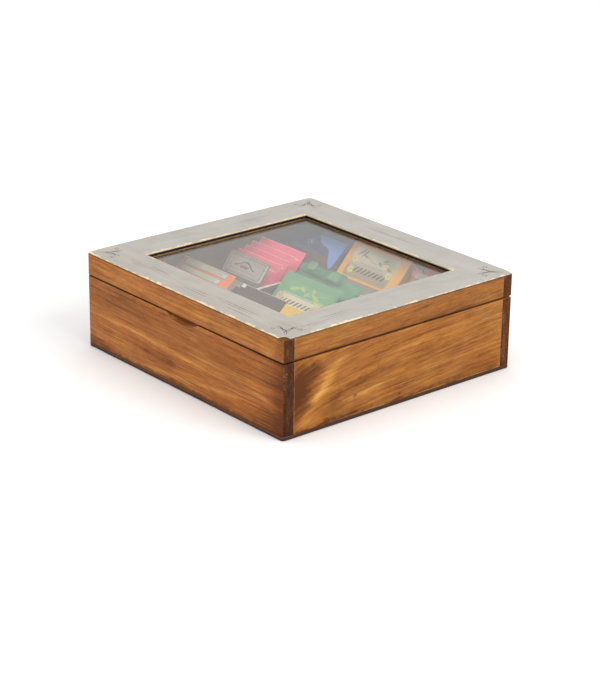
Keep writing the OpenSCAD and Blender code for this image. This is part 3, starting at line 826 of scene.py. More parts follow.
ribbon("corner_scrolls", sum((corner_scroll(sx, sy) for sx in (-1, 1) for sy in (-1, 1)), []))


def hairline(x0, y0, x1, y1, w, seed):
    n = 30
    out = []
    for i in range(n + 1):
        t = i / n
        q = 0.28 * noise.noise(Vector((t * 4, seed, 0.3)))
        dx, dy = (y1 - y0), -(x1 - x0)
        d = math.hypot(dx, dy)
        out.append((x0 + (x1 - x0) * t + dx / d * q, y0 + (y1 - y0) * t + dy / d * q,
                    w * (0.35 + 0.65 * math.sin(math.pi * t)) * (0.8 + 0.6 * noise.noise(Vector((t * 9, seed, 5.1))))))
    return out


ribbon("hairlines", [
    hairline(-62, -95.0, -38, -95.3, 0.5, 11), hairline(-10, -103.0, 26, -103.3, 0.5, 12),
    hairline(-4, -100.0, 18, -100.1, 0.4, 13), hairline(40, -104.5, 78, -104.2, 0.5, 14),
    hairline(108.0, -90, 108.4, -58, 0.46, 15), hairline(111.4, -84, 111.2, -66, 0.36, 16),
    hairline(-84, -98.5, -50, -98.5, 0.42, 1), hairline(-80, -101.5, -58, -101.4, 0.36, 2),
    hairline(22, -97.0, 74, -97.4, 0.46, 3), hairline(30, -100.2, 66, -100.0, 0.40, 4),
    hairline(102.5, -70, 102.8, -34, 0.40, 5), hairline(105.6, -62, 105.4, -42, 0.34, 6),
    hairline(-103, 20, -103.2, 58, 0.38, 7), hairline(-30, 98.6, 24, 98.9, 0.40, 8)])

# ------------------------------------------------------------------ sachets

CX = (-74.3333, 0.0, 74.3333)
CY = (-70.3333, 0.0, 70.3333)


class Print(Mat):
    """A paper sachet's print in its own millimetres: u across from the middle, v down from the top edge."""

    def __init__(self, name):
        super().__init__(name)
        n = self.new("ShaderNodeAttribute", attribute_name="loc")
        self.u, self.v, self.back = self.split(S(self, n.outputs["Vector"]))
        u, v = self.u, self.v
        self.n1 = self.noise(self.vec(u / 22, v / 22, 2.0), 1, 3, 0.55)
        self.n2 = self.noise(self.vec(u / 3, v / 3, 5.0), 1, 3, 0.6)
        self.n3 = self.noise(self.vec(u / 0.5, v / 0.5, 1.0), 1, 2, 0.6)

    def box(self, cx, cy, hw, hh, r=0.6, soft=0.35):
        qx = (self.u - cx).abs() - (hw - r)
        qy = (self.v - cy).abs() - (hh - r)
        out = (qx.max(0.0).sq() + qy.max(0.0).sq()).sqrt()
        d = out + qx.max(qy).min(0.0) - r
        return self.math("MULTIPLY_ADD", d, -1.0 / soft, 0.5, clamp=True), d

    def fill(self, *a, **k):
        return self.box(*a, **k)[0]

    def outline(self, cx, cy, hw, hh, r, w):
        d = self.box(cx, cy, hw, hh, r)[1]
        return self.math("MULTIPLY_ADD", d.abs() - w / 2, -3.0, 0.5, clamp=True)

    def disc(self, cx, cy, rad, soft=0.35):
        d = ((self.u - cx).sq() + (self.v - cy).sq()).sqrt() - rad
        return self.math("MULTIPLY_ADD", d, -1.0 / soft, 0.5, clamp=True)

    def leaf(self, cx, cy, length, width, ang):
        c, s = math.cos(math.radians(ang)), math.sin(math.radians(ang))
        du, dv = self.u - cx, self.v - cy
        p = du * c + dv * s
        q = (dv * c - du * s).abs()
        body = (1 - (p / length).sq() - q / width)
        return self.math("MULTIPLY_ADD", body, 6.0, 0.3, clamp=True), \
            self.math("MULTIPLY_ADD", q, -5.0, 1.0, clamp=True) * self.math("MULTIPLY_ADD", body, 6.0, 0.0, clamp=True)

    def wave(self, u0, u1, v0, amp, period, w, phase=0.0):
        """A curved line between u0 and u1."""
        y = self.math("SINE", (self.u + phase) * (2 * math.pi / period)) * amp + v0
        on = self.math("MULTIPLY_ADD", (self.v - y).abs() - w / 2, -3.5, 0.5, clamp=True)
        return on * self.u.step(u0 - 0.3, u0 + 0.3) * self.u.step(u1 + 0.3, u1 - 0.3)

    def rule(self, u0, u1, v0, w):
        return self.fill((u0 + u1) / 2, v0, (u1 - u0) / 2, w / 2, 0.05, 0.25)

    def cord(self, u0, u1, v0, hh, period=4.6):
        """A border of slanting stripes, like a twisted cord."""
        turn = ((self.u + self.v * 0.75) / period).fract()
        return self.fill((u0 + u1) / 2, v0, (u1 - u0) / 2, hh, 1.6) * (turn - 0.5).abs().step(0.26, 0.22)

    def lay(self, col, over, mask, amount=1.0):
        return self.mix(col, over, mask * amount if amount != 1.0 else mask)

    def done(self, col, ground, rough=0.42, sheen=0.0, length=70.0, tip=(236, 232, 224), tipw=0.55):
        u, v = self.u, self.v
        # printed colour varies a little, folds and rubbing lighten it
        col = self.shade(col, 1 + (self.n1 - 0.5) * 0.16 + (self.n2 - 0.5) * 0.08)
        # painted shade of the crimp: fine darker bars across the seals
        crimp_painted_shade = ((v / 1.4).fract() - 0.5).abs().step(0.18, 0.32)
        seal = v.step(7.2, 6.6) + v.step(length - 7.2, length - 6.6)
        col = self.shade(col, 1 - crimp_painted_shade * seal.clamp() * 0.07)
        # cut paper edge
        col = self.mix(col, lin(*tip), v.step(tipw + 0.25, tipw) * 0.85)
        plain = self.shade(lin(*ground), 0.9 + (self.n1 - 0.5) * 0.2)
        col = self.mix(col, plain, self.back.step(0.4, 0.6))
        self.set("Base Color", col)
        self.set("Roughness", (rough + (self.n2 - 0.5) * 0.16 + (self.n1 - 0.5) * 0.1).clamp())
        self.set("Specular IOR Level", 0.22)
        self.set("Coat Weight", sheen * 0.35)
        self.set("Coat Roughness", 0.25)
        crease = (self.noise(self.vec(u / 9, v / 14, 9.0), 1, 3, 0.6) - 0.5).abs().step(0.035, 0.0)
        h = self.n1 * 1.0 + self.n2 * 0.35 + self.n3 * 0.05 - crease * 0.25
        self.set("Normal", self.bump(h, 0.35, 0.0006))
        return self.mat


def p_stripe(name, plain=False):
    p = Print(name)
    ground = (255, 124, 56)
    # the ground darkens towards the left: painted shadow
    col = p.mix(lin(*ground), lin(190, 84, 64), p.u.step(22, -34) * 0.9)
    if not plain:
        for v0, u1 in ((3.4, 24.5), (10.0, 21.5)):
            bar = p.fill((u1 - 28) / 2, v0, (u1 + 28) / 2, 2.35, 1.5)
            col = p.lay(col, p.mix(lin(178, 182, 160), lin(188, 194, 176), p.n1), bar)
            col = p.lay(col, lin(168, 178, 150), bar * p.n2.step(0.5, 0.62), 0.6)
            col = p.lay(col, lin(200, 214, 222), p.fill(u1 - 3.0, v0, 2.6, 1.7, 1.4), 0.8)
            col = p.lay(col, lin(150, 70, 56), p.outline((u1 - 28) / 2, v0, (u1 + 28) / 2, 2.5, 1.6, 0.45), 0.75)
        col = p.lay(col, lin(232, 216, 180), p.fill(0, 32, 26, 15, 4))
        col = p.lay(col, lin(176, 82, 52), p.outline(0, 32, 24.5, 13.5, 3.5, 0.6))
        for cx, a in ((-12, 40), (-4, -35), (5, 35), (13, -40)):
            l, vn = p.leaf(cx, 32, 6.5, 2.2, a)
            col = p.lay(col, lin(126, 140, 84), l)
            col = p.lay(col, lin(206, 206, 160), vn)
    return p.done(col, ground, 0.4, 0.15, tip=(232, 190, 170))


def p_black(name, small=True):
    p = Print(name)
    ground = (70, 40, 28)
    col = p.mix(lin(*ground), lin(82, 50, 36), p.n1)
    if small:
        col = p.lay(col, lin(236, 230, 222), p.fill(-24.2, 1.5, 2.2, 1.9, 0.05, 0.1))
    col = p.lay(col, lin(150, 118, 62), p.rule(-24, 24, 17.5, 0.5))
    col = p.lay(col, lin(150, 118, 62), p.outline(0, 36, 19, 13, 5, 0.6))
    for cx, cy, a in ((-6, 38, -35), (0, 34, 90), (6, 38, 35)):
        l, vn = p.leaf(cx, cy, 6.5, 2.4, a)
        col = p.lay(col, lin(168, 136, 76), l)
        col = p.lay(col, lin(*ground), vn)
    return p.done(col, ground, 0.38, 0.2, tip=(206, 196, 186), tipw=0.45)


def p_yellow(name):
    p = Print(name)
    ground = (255, 218, 70)
    col = p.mix(lin(*ground), lin(250, 202, 56), p.n1)
    col = p.lay(col, lin(250, 240, 206), p.fill(0, 30, 25, 14, 3.5))
    col = p.lay(col, lin(206, 150, 52), p.outline(0, 30, 23.6, 12.6, 3, 0.6))
    for cx, cy in ((-10, 28), (0, 33), (10, 28)):
        for k in range(5):
            a = k * 72 + cx * 3
            l, _ = p.leaf(cx + 2.6 * math.cos(math.radians(a)), cy + 2.6 * math.sin(math.radians(a)), 2.3, 1.1, a)
            col = p.lay(col, lin(244, 206, 70), l)
        col = p.lay(col, lin(184, 112, 40), p.disc(cx, cy, 1.1))
    col = p.lay(col, lin(206, 150, 52), p.rule(-26, 26, 10.2, 0.6), 0.8)
    return p.done(col, ground, 0.4, 0.15)


def p_pink(name, deep=0.0):
    p = Print(name)
    ground = (255, 88 - 16 * deep, 128 - 14 * deep)
    col = p.mix(lin(*ground), lin(255, 104, 138), p.n1)
    col = p.lay(col, lin(255, 226, 232), p.rule(1, 25, 7.4, 0.55), 0.8)
    col = p.lay(col, lin(150, 60, 84), p.disc(16.5, 5.0, 0.9) + p.disc(13.2, 5.6, 0.7), 0.65)
    # the lower part darkens: painted shadow
    col = p.mix(col, lin(132, 74, 84), p.v.step(25, 34) * 0.8)
    col = p.lay(col, lin(226, 190, 198), p.fill(0, 44, 20, 12, 6))
    for k in range(6):
        a = k * 60
        l, _ = p.leaf(4.2 * math.cos(math.radians(a)), 44 + 4.2 * math.sin(math.radians(a)), 3.8, 1.9, a)
        col = p.lay(col, lin(214, 72, 112), l)
    col = p.lay(col, lin(244, 206, 110), p.disc(0, 44, 1.7))
    return p.done(col, ground, 0.36, 0.25, tip=(255, 178, 198), tipw=0.45)


def p_olive(name):
    p = Print(name)
    ground = (122, 112, 98)
    col = p.mix(lin(*ground), lin(108, 98, 84), p.n1)
    # rounded grey panel near the top, with a leafy arch on it
    col = p.lay(col, p.mix(lin(184, 174, 164), lin(168, 158, 148), p.n1), p.fill(-0.4, 9.6, 24.2, 8.8, 3.0))
    col = p.lay(col, p.mix(lin(196, 184, 176), lin(170, 158, 150), p.n1), p.fill(-1.4, 9.8, 20.6, 6.4, 2.2))
    col = p.lay(col, lin(70, 62, 54), p.outline(-1.0, 9.7, 21.4, 7.2, 2.4, 0.45), 0.7)
    col = p.lay(col, lin(58, 50, 44), p.wave(-13.5, 11.5, 8.2, -2.3, 25, 1.05, 7.25), 0.95)
    for k in range(5):
        l, _ = p.leaf(-1.0 + (k - 2) * 1.9, 9.6 + abs(k - 2) * 0.35, 2.2, 0.8, 90 + (k - 2) * 22)
        col = p.lay(col, lin(66, 58, 52), l, 0.85)
    col = p.lay(col, lin(92, 84, 76), p.rule(-17, 15, 13.6, 0.35), 0.8)
    col = p.lay(col, lin(226, 218, 210), p.fill(22.6, 9.6, 0.9, 7.2, 0.8), 0.75)
    col = p.lay(col, lin(172, 166, 140), p.fill(0, 36, 19, 14, 4))
    for cx, a in ((-8, 30), (0, -90), (8, -30)):
        l, vn = p.leaf(cx, 36, 7, 2.6, a)
        col = p.lay(col, lin(112, 116, 82), l)
        col = p.lay(col, lin(172, 166, 140), vn)
    return p.done(col, ground, 0.45, 0.1, tip=(176, 168, 158), tipw=0.3)


def p_green(name, kind=0):
    p = Print(name)
    ground = (98, 164, 112) if kind != 1 else (60, 124, 84)
    col = p.mix(lin(*ground), lin(112, 176, 124) if kind != 1 else lin(72, 136, 94), p.n1)
    if kind == 0:
        for cx, cy, ln, wd, a in ((-14, 12.5, 5.2, 2.0, -18), (-6, 10.2, 4.2, 1.7, 22), (6.5, 10.2, 4.4, 1.8, 58),
                                  (13, 14.5, 6.0, 2.3, 24), (19.5, 17.2, 5.0, 2.0, -12), (1.2, 13.6, 3.6, 1.5, -48)):
            l, vn = p.leaf(cx, cy, ln, wd, a)
            col = p.lay(col, lin(168, 200, 96), l, 0.9)
            col = p.lay(col, lin(206, 222, 140), vn)
        col = p.lay(col, lin(214, 214, 140), p.wave(-20, 20, 12.2, 1.7, 30, 0.4, 3.0), 0.8)
        label = p.fill(-2.0, 27.0, 26.0, 8.4, 2.2)
        col = p.lay(col, lin(226, 218, 188), label)
        col = p.lay(col, lin(236, 190, 120), p.disc(-23, 22.6, 3.6) + p.disc(18.5, 23.4, 4.2), 0.75)
        col = p.lay(col, lin(236, 236, 220), p.rule(-24, 22, 17.6, 0.45))
        col = p.lay(col, lin(98, 88, 62), p.cord(-20.5, 17.5, 24.8, 2.4), 0.9)
        col = p.lay(col, lin(150, 144, 110), p.rule(-21, 18, 31.4, 0.4), 0.8)
    elif kind == 1:
        col = p.lay(col, lin(98, 160, 112), p.fill(22.0, 6.0, 9.4, 5.4, 1.2), 0.8)
    else:
        col = p.lay(col, lin(200, 216, 150), p.outline(0, 30, 24, 14, 3, 0.7))
        for cx, a in ((-10, 40), (-3, -40), (4, 40), (11, -40)):
            l, _ = p.leaf(cx, 30, 6, 2.1, a)
            col = p.lay(col, lin(176, 204, 120), l)
    return p.done(col, ground, 0.4, 0.15, tip=(130, 176, 140), tipw=0.35)


def p_pale(name):
    p = Print(name)
    ground = (206, 210, 198)
    col = p.mix(lin(*ground), lin(190, 198, 184), p.n1)
    col = p.lay(col, lin(126, 160, 130), p.rule(-30, 30, 9.2, 2.0), 0.9)
    col = p.lay(col, lin(232, 232, 220), p.fill(0, 32, 24, 14, 4))
    for cx, cy, a in ((-9, 34, 40), (-3, 29, -70), (4, 34, 75), (10, 30, -30)):
        l, vn = p.leaf(cx, cy, 6.4, 2.2, a)
        col = p.lay(col, lin(134, 160, 124), l)
        col = p.lay(col, lin(214, 222, 200), vn)
    return p.done(col, ground, 0.46, 0.08)


def p_navy(name, top=True):
    p = Print(name)
    ground = (14, 40, 108)
    col = p.mix(lin(*ground), lin(26, 50, 112), p.n1)
    # the lower half is a warm brown band
    col = p.lay(col, p.mix(lin(104, 62, 48), lin(84, 54, 44), p.n2), p.fill(0, 46, 40, 21.5, 2.0), 0.95)
    if top:
        # a light blue flag, wide at the top, that steps in and runs down the right side
        rim = (p.v - 8).max(0.0).min(6.1) * 0.92 + (p.v - 14.1).max(0.0).min(3.2) * 4.3 + (p.v - 17.3).max(0.0) * 0.72
        blue = p.fill(13.5, 20.2, 17.5, 13.4, 2.0) * (p.u + 3.2 - rim + (p.n1 - 0.5) * 4).step(0.0, 0.9)
        col = p.lay(col, p.mix(lin(96, 146, 232), lin(118, 164, 240), p.n1), blue.clamp())
        for k in range(7):
            a = math.radians(k * 360 / 7)
            col = p.lay(col, lin(150, 162, 184), p.disc(-6.0 + 3.0 * math.cos(a), 16.5 + 3.0 * math.sin(a), 0.7), 0.8)
        col = p.lay(col, lin(160, 170, 190), p.disc(-6.0, 16.5, 1.1), 0.8)
        col = p.lay(col, lin(150, 146, 140), p.rule(-26, 9, 22.6, 0.45), 0.8)
        col = p.lay(col, lin(168, 148, 96), p.rule(-26, 12, 24.4, 0.35), 0.8)
    return p.done(col, ground, 0.4, 0.0, tip=(30, 52, 120), tipw=0.35)


def p_orange(name, top=True):
    p = Print(name)
    ground = (255, 176, 30)
    col = p.mix(lin(*ground), lin(255, 188, 52), p.n1)
    if top:
        label = p.fill(-2.0, 17.5, 25.5, 13.5, 3.0)
        cream = p.mix(lin(228, 218, 204), lin(230, 212, 184), p.n1)
        # the label darkens towards its lower part: painted shade
        cream = p.mix(cream, lin(164, 138, 104), p.v.step(10, 26) * 0.85)
        cream = p.mix(cream, lin(150, 172, 132), p.gauss(p.u, p.v, 15, 10, 11, 4, 10) * 0.75)
        cream = p.mix(cream, lin(240, 200, 120), p.gauss(p.u, p.v, -22, 17, 5, 4) * 0.4)
        col = p.lay(col, cream, label)
        for cx, cy, ln, wd, a in ((-19.5, 8.0, 4.6, 1.3, -48), (-15.6, 8.6, 4.4, 1.2, -62), (-12.8, 10.6, 3.2, 1.0, 15),
                                  (5.6, 12.8, 3.4, 1.3, 36), (17.0, 14.6, 3.8, 1.5, 10), (9.4, 8.6, 3.4, 1.3, -25)):
            l, vn = p.leaf(cx, cy, ln, wd, a)
            col = p.lay(col, lin(122, 128, 106), l, 0.85)
            col = p.lay(col, lin(196, 196, 176), vn, 0.6)
        for cx, cy, r in ((12.6, 13.4, 1.7), (-22.5, 15.2, 2.1), (20.0, 19.6, 2.2), (-21.0, 25.0, 2.3), (-8.2, 12.2, 1.2)):
            for k in range(5):
                a = math.radians(k * 72 + cx * 9)
                col = p.lay(col, lin(244, 222, 132), p.disc(cx + r * math.cos(a), cy + r * math.sin(a), r * 0.62), 0.85)
            col = p.lay(col, lin(228, 176, 70), p.disc(cx, cy, r * 0.45))
        col = p.lay(col, lin(128, 120, 108), p.wave(-12, 14, 12.0, 1.8, 26, 0.4, 6.5), 0.85)
        col = p.lay(col, lin(122, 114, 104), p.rule(-14, 13, 17.2, 0.4), 0.85)
        col = p.lay(col, lin(140, 132, 120), p.rule(-11, 10, 18.6, 0.3), 0.7)
        col = p.lay(col, lin(78, 66, 48), p.cord(-18.4, 18.4, 23.4, 2.5), 0.9)
        col = p.lay(col, lin(150, 140, 124), p.rule(-20, 18, 28.6, 0.4), 0.8)
    else:
        col = p.lay(col, lin(226, 218, 196), p.fill(0, 30, 24, 14, 3))
    # grey over the lower part: painted shade
    col = p.lay(col, lin(146, 138, 122), p.fill(0, 44, 26, 11, 3), 0.95)
    return p.done(col, ground, 0.38, 0.2, tip=(255, 210, 120), tipw=0.4)


def p_red(name, kind=0):
    p = Print(name)
    if kind == 0:
        ground = (255, 128, 84)
        col = p.mix(lin(*ground), lin(255, 146, 100), p.n1)
        col = p.lay(col, lin(230, 222, 206), p.fill(0.5, 11.6, 23.5, 9.4, 3.4))
        col = p.lay(col, lin(240, 184, 160), p.outline(0.5, 11.6, 23.5, 9.4, 3.4, 0.5), 0.8)
        for cx, a in ((-6, 30), (1, -40), (8, 30)):
            l, _ = p.leaf(cx, 10.5, 3.6, 1.2, a)
            col = p.lay(col, lin(196, 110, 84), l, 0.8)
    elif kind == 1:
        ground = (255, 96, 44)
        col = p.mix(lin(*ground), lin(255, 128, 60), p.n1)
        col = p.lay(col, lin(206, 208, 190), p.rule(-40, 40, 9.6, 4.4))
        col = p.lay(col, lin(176, 62, 40), p.rule(-40, 40, 13.4, 2.0), 0.9)
    else:
        ground = (206, 92, 60)
        col = p.mix(lin(*ground), lin(216, 110, 72), p.n1)
        col = p.lay(col, lin(240, 222, 190), p.fill(0, 30, 24, 14, 4))
    return p.done(col, ground, 0.4, 0.15, tip=(240, 190, 160))


P = {
    "stripe": p_stripe("print_stripe"), "stripe2": p_stripe("print_salmon", True),
    "black": p_black("print_black"), "black2": p_black("print_black_plain", False),
    "yellow": p_yellow("print_yellow"), "pink": p_pink("print_pink"), "pink2": p_pink("print_pink_deep", 1.0),
    "olive": p_olive("print_olive"), "green": p_green("print_green", 0), "green2": p_green("print_sage", 1),
    "green3": p_green("print_green_plain", 2), "pale": p_pale("print_pale"), "navy": p_navy("print_navy"),
    "navy2": p_navy("print_navy_plain", False), "orange": p_orange("print_orange"), "orange2": p_orange("print_orange_plain", False),
    "salmon": p_red("print_salmon_label", 0), "red": p_red("print_red", 1), "red2": p_red("print_red_plain", 2),
}


def sachet(name, c, r, s, mat, node, seed):
    """A paper envelope with crimped seals round a soft tea bag, inside its CAD slab."""
    dx, yt, zt, lean, w, L = s
    rnd = random.Random(seed)
    a = math.radians(lean)
    o = Vector((CX[c] + dx, CY[r] + yt, zt))
    e_n = Vector((0, math.cos(a), -math.sin(a)))      # from the front face inwards
    e_v = Vector((0, -math.sin(a), -math.cos(a)))     # down along the sachet
    seal, side = 6.6, 3.6
    vs = []
    v = 0.0
    while v < seal:
        vs.append(v)
        v += 0.35
    n = max(8, int((L - 2 * seal) / 2.4))
    vs += [seal + (L - 2 * seal) * i / n for i in range(n)]
    v = L - seal
    while v < L:
        vs.append(v)
        v += 0.35 if L > 60 else 0.7
    vs.append(L)
    us = [-w / 2, -w / 2 + 0.6, -w / 2 + side * 0.6, -w / 2 + side]
    n = 20
    us += [-w / 2 + side + (w - 2 * side) * i / n for i in range(1, n)]
    us += [w / 2 - side, w / 2 - side * 0.6, w / 2 - 0.6, w / 2]
    ph = rnd.uniform(0, 10)
    fat = rnd.uniform(0.92, 1.05)

    def half(u, vv):
        """Half thickness of the filled envelope."""
        du = (w / 2 - abs(u)) - side
        dv = min(vv, L - vv) - seal
        if du <= 0 or dv <= 0:
            return 0.10
        q = min(1.0, du / 13.0) ** 0.62 * min(1.0, dv / 11.0) ** 0.62
        # the bag inside has settled towards the bottom
        q *= 0.80 + 0.20 * math.sin(math.pi * min(1.0, max(0.0, (vv - seal) / (L - 2 * seal))) * 0.5 + 0.35)
        return 0.10 + 1.12 * fat * q + 0.06 * noise.noise(Vector((u / 7, vv / 7, ph)))

    verts, loc, faces = [], [], []
    nu, nv = len(us), len(vs)
    for sgn in (-1, 1):
        for vv in vs:
            for u in us:
                mid = 1.38 + 0.16 * noise.noise(Vector((u / 30, vv / 34, ph + 3)))
                h = half(u, vv)
                inseal = min(vv, L - vv) < seal - 0.4
                crimp = 0.075 * math.cos(2 * math.pi * vv / 1.4) if inseal else 0.0
                k = mid + sgn * h + crimp
                # the cut edges wander a little
                uu = u
                if abs(u) > w / 2 - 0.1:
                    uu = u - math.copysign(0.12 + 0.12 * noise.noise(Vector((vv / 9, ph, 1))), u)
                v2 = vv
                if vv < 0.01:
                    v2 = 0.1 + 0.10 * noise.noise(Vector((u / 8, ph, 2)))
                k = min(2.92, max(0.08, k))
                verts.append((o + e_n * k + e_v * v2 + Vector((uu, 0, 0))) * MM)
                loc.append((u, vv, 0.0 if sgn < 0 else 1.0))
    off = nu * nv
    for j in range(nv - 1):
        for i in range(nu - 1):
            q = j * nu + i
            faces.append((q, q + 1, q + nu + 1, q + nu))
            faces.append((off + q, off + q + nu, off + q + nu + 1, off + q + 1))
    rim = [i for i in range(nu)] + [j * nu + nu - 1 for j in range(1, nv)] + \
        [(nv - 1) * nu + i for i in range(nu - 2, -1, -1)] + [j * nu for j in range(nv - 2, 0, -1)]
    for i in range(len(rim)):
        p0, p1 = rim[i], rim[(i + 1) % len(rim)]
        faces.append((p1, p0, off + p0, off + p1))
    me = bpy.data.meshes.new(name)
    me.from_pydata(verts, [], faces)
    bm = bmesh.new()
    bm.from_mesh(me)
    bmesh.ops.recalc_face_normals(bm, faces=bm.faces[:])
    bm.to_mesh(me)
    bm.free()
    at = me.attributes.new("loc", "FLOAT_VECTOR", "POINT")
    at.data.foreach_set("vector", [q for t in loc for q in t])
    me.polygons.foreach_set("use_smooth", [True] * len(me.polygons))
    me.set_sharp_from_angle(angle=math.radians(50))
    return new_object(name, me, mat, "case", [node])


STACKS = [
    ("sachets_front_left", 0, 0, "sachet_stripe", ["stripe", "stripe2", "stripe2"],
     [[1.5, 40.5, 60.4, 50, 66, 70], [0, 30.9, 46.8, 50, 66, 60], [1, 24.2, 35.8, 50, 66, 40]]),
    ("sachets_front_middle", 1, 0, "sachet_black", ["black", "black2", "black2", "black2"],
     [[5.5, 32.8, 62.4, 49, 55, 70], [1.5, 33.8, 57.5, 49, 66, 70], [-1, 33.8, 51.8, 49, 66, 66], [1, 31.6, 44.3, 49, 66, 56]]),
    ("sachets_front_right", 2, 0, "sachet_yellow", ["yellow"] * 6,
     [[-1.9, 24.8, 65.5, 45, 66, 72], [0, 27.3, 63.5, 45, 66, 74], [-1, 28.6, 60.3, 45, 66, 74],
      [0.5, 30.6, 57.8, 45, 66, 72], [-0.6, 31.3, 53.9, 45, 66, 68], [0, 32, 50.1, 45, 66, 62]]),
    ("sachets_middle_left", 0, 1, "sachet_pink", ["pink", "pink", "pink2", "pink", "pink2"],
     [[6.4, 41.7, 64, 42, 55.5, 76], [5, 32.5, 62.5, 42, 54, 76], [5, 25.9, 60.3, 42, 56, 74], [3.5, 19.5, 58.2, 42, 56, 70],
      [0, 31, 45.6, 42, 66, 53]]),
    ("sachet_middle_left_fore", 0, 1, "sachet_olive", ["olive"], [[5, 8.7, 60.4, 37, 50, 68]]),
    ("sachets_middle_middle", 1, 1, "sachet_green", ["green", "green2", "green3", "green3"],
     [[-2.5, 19.7, 56.5, 47, 65, 66], [2, 28.6, 60.2, 47, 64, 72], [0, 31.5, 58, 47, 66, 70], [-1, 30.6, 47.5, 47, 66, 60]]),
    ("sachets_middle_right", 2, 1, "sachet_pale", ["pale", "pale", "pale"],
     [[0, 24, 58, 45, 66, 68], [-1, 27.5, 52.8, 45, 66, 66], [0, 29, 46.5, 45, 64, 56]]),
    ("sachets_back_left", 0, 2, "sachet_navy", ["navy", "navy2", "navy2", "navy2"],
     [[1, 23.5, 65.8, 50, 68, 66], [0, 26, 62.3, 50, 67, 68], [-1, 28.4, 58.8, 50, 66, 70], [0, 30.7, 55.3, 50, 66, 72]]),
    ("sachets_back_middle", 1, 2, "sachet_orange", ["orange", "orange2", "orange2", "orange2", "orange2"],
     [[-0.3, 19.3, 67.7, 43, 67.5, 72], [0, 22, 64.2, 43, 67, 72], [1, 25, 61.2, 43, 66, 72], [0, 28, 58.2, 43, 66, 70],
      [0, 30.6, 55.2, 43, 66, 68]]),
    ("sachets_back_right", 2, 2, "sachet_red", ["salmon", "red", "red2", "red2"],
     [[-2.5, 16, 61, 44, 63, 66], [1, 26, 64.5, 44, 66, 66], [0, 28.4, 60.7, 44, 66, 66], [0, 30.6, 57, 44, 66, 66]]),
]
for si, (node, c, r, slot, prints, items) in enumerate(STACKS):
    for k, (pr, it) in enumerate(zip(prints, items)):
        sachet(f"{node}_{k + 1}", c, r, it, P[pr], node, 100 * si + k)



def paper(name, rgb, rgb2):
    m = Mat(name)
    x, y, z = m.xyz()
    a = m.noise(m.vec(x / 5, y / 5, z / 5), 1, 3, 0.6)
    b = m.noise(m.vec(x / 0.6, y / 0.6, z / 0.6), 1, 2, 0.6)
    m.set("Base Color", m.shade(m.mix(lin(*rgb), lin(*rgb2), a.step(0.3, 0.7)), 1 + (b - 0.5) * 0.1))
    m.set("Roughness", (0.5 + (a - 0.5) * 0.3).clamp())
    m.set("Specular IOR Level", 0.2)
    m.set("Normal", m.bump(a + b * 0.1, 0.3, 0.0003))
    return m.mat


def flap(name, c, r, s, u0, u1, v0, v1, off, curl, mat, seed, taper=0.0):
    """A loose piece of paper in the plane of a sachet, off millimetres in front of it and curled at its free end."""
    dx, yt, zt, lean, w, L = s
    a = math.radians(lean)
    o = Vector((CX[c] + dx, CY[r] + yt, zt))
    e_n = Vector((0, math.cos(a), -math.sin(a)))
    e_v = Vector((0, -math.sin(a), -math.cos(a)))
    nu, nv, th = 14, 10, 0.16
    verts, faces = [], []
    for side in (0, 1):
        for j in range(nv + 1):
            q = j / nv
            for i in range(nu + 1):
                t = i / nu * 2 - 1
                # rounded corners by the superellipse
                b = (1 - 0.10 * (abs(2 * q - 1) ** 9)) * (1 - taper * q)
                u = (u0 + u1) / 2 + t * (u1 - u0) / 2 * b + 0.35 * noise.noise(Vector((q * 2, seed, t)))
                v = v0 + (v1 - v0) * (0.5 + (q - 0.5) * (1 - 0.09 * abs(t) ** 9)) + 0.3 * noise.noise(Vector((t * 2, seed, 4)))
                n = 0.5 * noise.noise(Vector((u / 6, v / 6, seed))) + curl * (1 - q) ** 2 - off
                p = o + Vector((u, 0, 0)) + e_v * v + e_n * (n + (th if side else 0))
                verts.append(p * MM)
    half = (nu + 1) * (nv + 1)
    for j in range(nv):
        for i in range(nu):
            q = j * (nu + 1) + i
            faces.append((q, q + 1, q + nu + 2, q + nu + 1))
            faces.append((half + q, half + q + nu + 1, half + q + nu + 2, half + q + 1))
    rim = list(range(nu + 1)) + [j * (nu + 1) + nu for j in range(1, nv + 1)] + \
        [nv * (nu + 1) + i for i in range(nu - 1, -1, -1)] + [j * (nu + 1) for j in range(nv - 1, 0, -1)]
    for i in range(len(rim)):
        p0, p1 = rim[i], rim[(i + 1) % len(rim)]
        faces.append((p1, p0, half + p0, half + p1))
    me = bpy.data.meshes.new(name)
    me.from_pydata(verts, [], faces)
    bm = bmesh.new()
    bm.from_mesh(me)
    bmesh.ops.recalc_face_normals(bm, faces=bm.faces[:])
    bm.to_mesh(me)
    bm.free()
    me.polygons.foreach_set("use_smooth", [True] * len(me.polygons))
    me.set_sharp_from_angle(angle=math.radians(50))
    return new_object(name, me, mat, "case")


sage = paper("paper_sage", (92, 150, 106), (108, 166, 122))
deep_green = paper("paper_green", (54, 112, 76), (72, 134, 92))
bright_green = paper("paper_leaf", (92, 156, 108), (78, 142, 98))
white_paper = paper("paper_white", (214, 206, 196), (190, 182, 174))
GREEN2 = [2, 28.6, 60.2, 47, 64, 72]
flap("green_fold_left", 1, 1, GREEN2, -31, -4, -3.8, 4.0, 0.5, 1.6, deep_green, 31)
flap("green_fold_middle", 1, 1, GREEN2, -3, 20, -5.4, 5.0, 0.5, 1.6, deep_green, 33)
flap("green_tag_left", 1, 1, GREEN2, -22.8, -14.0, -5.6, 1.6, 1.6, 0.2, sage, 35)
flap("green_tag_right", 1, 1, GREEN2, 3.0, 14.6, -3.4, 3.4, 1.4, 0.2, sage, 37)
flap("green_fold_right", 1, 1, [-2.5, 19.7, 56.5, 47, 65, 66], 33.5, 47.5, -8.5, 6.5, 0.2, 2.0, bright_green, 39)
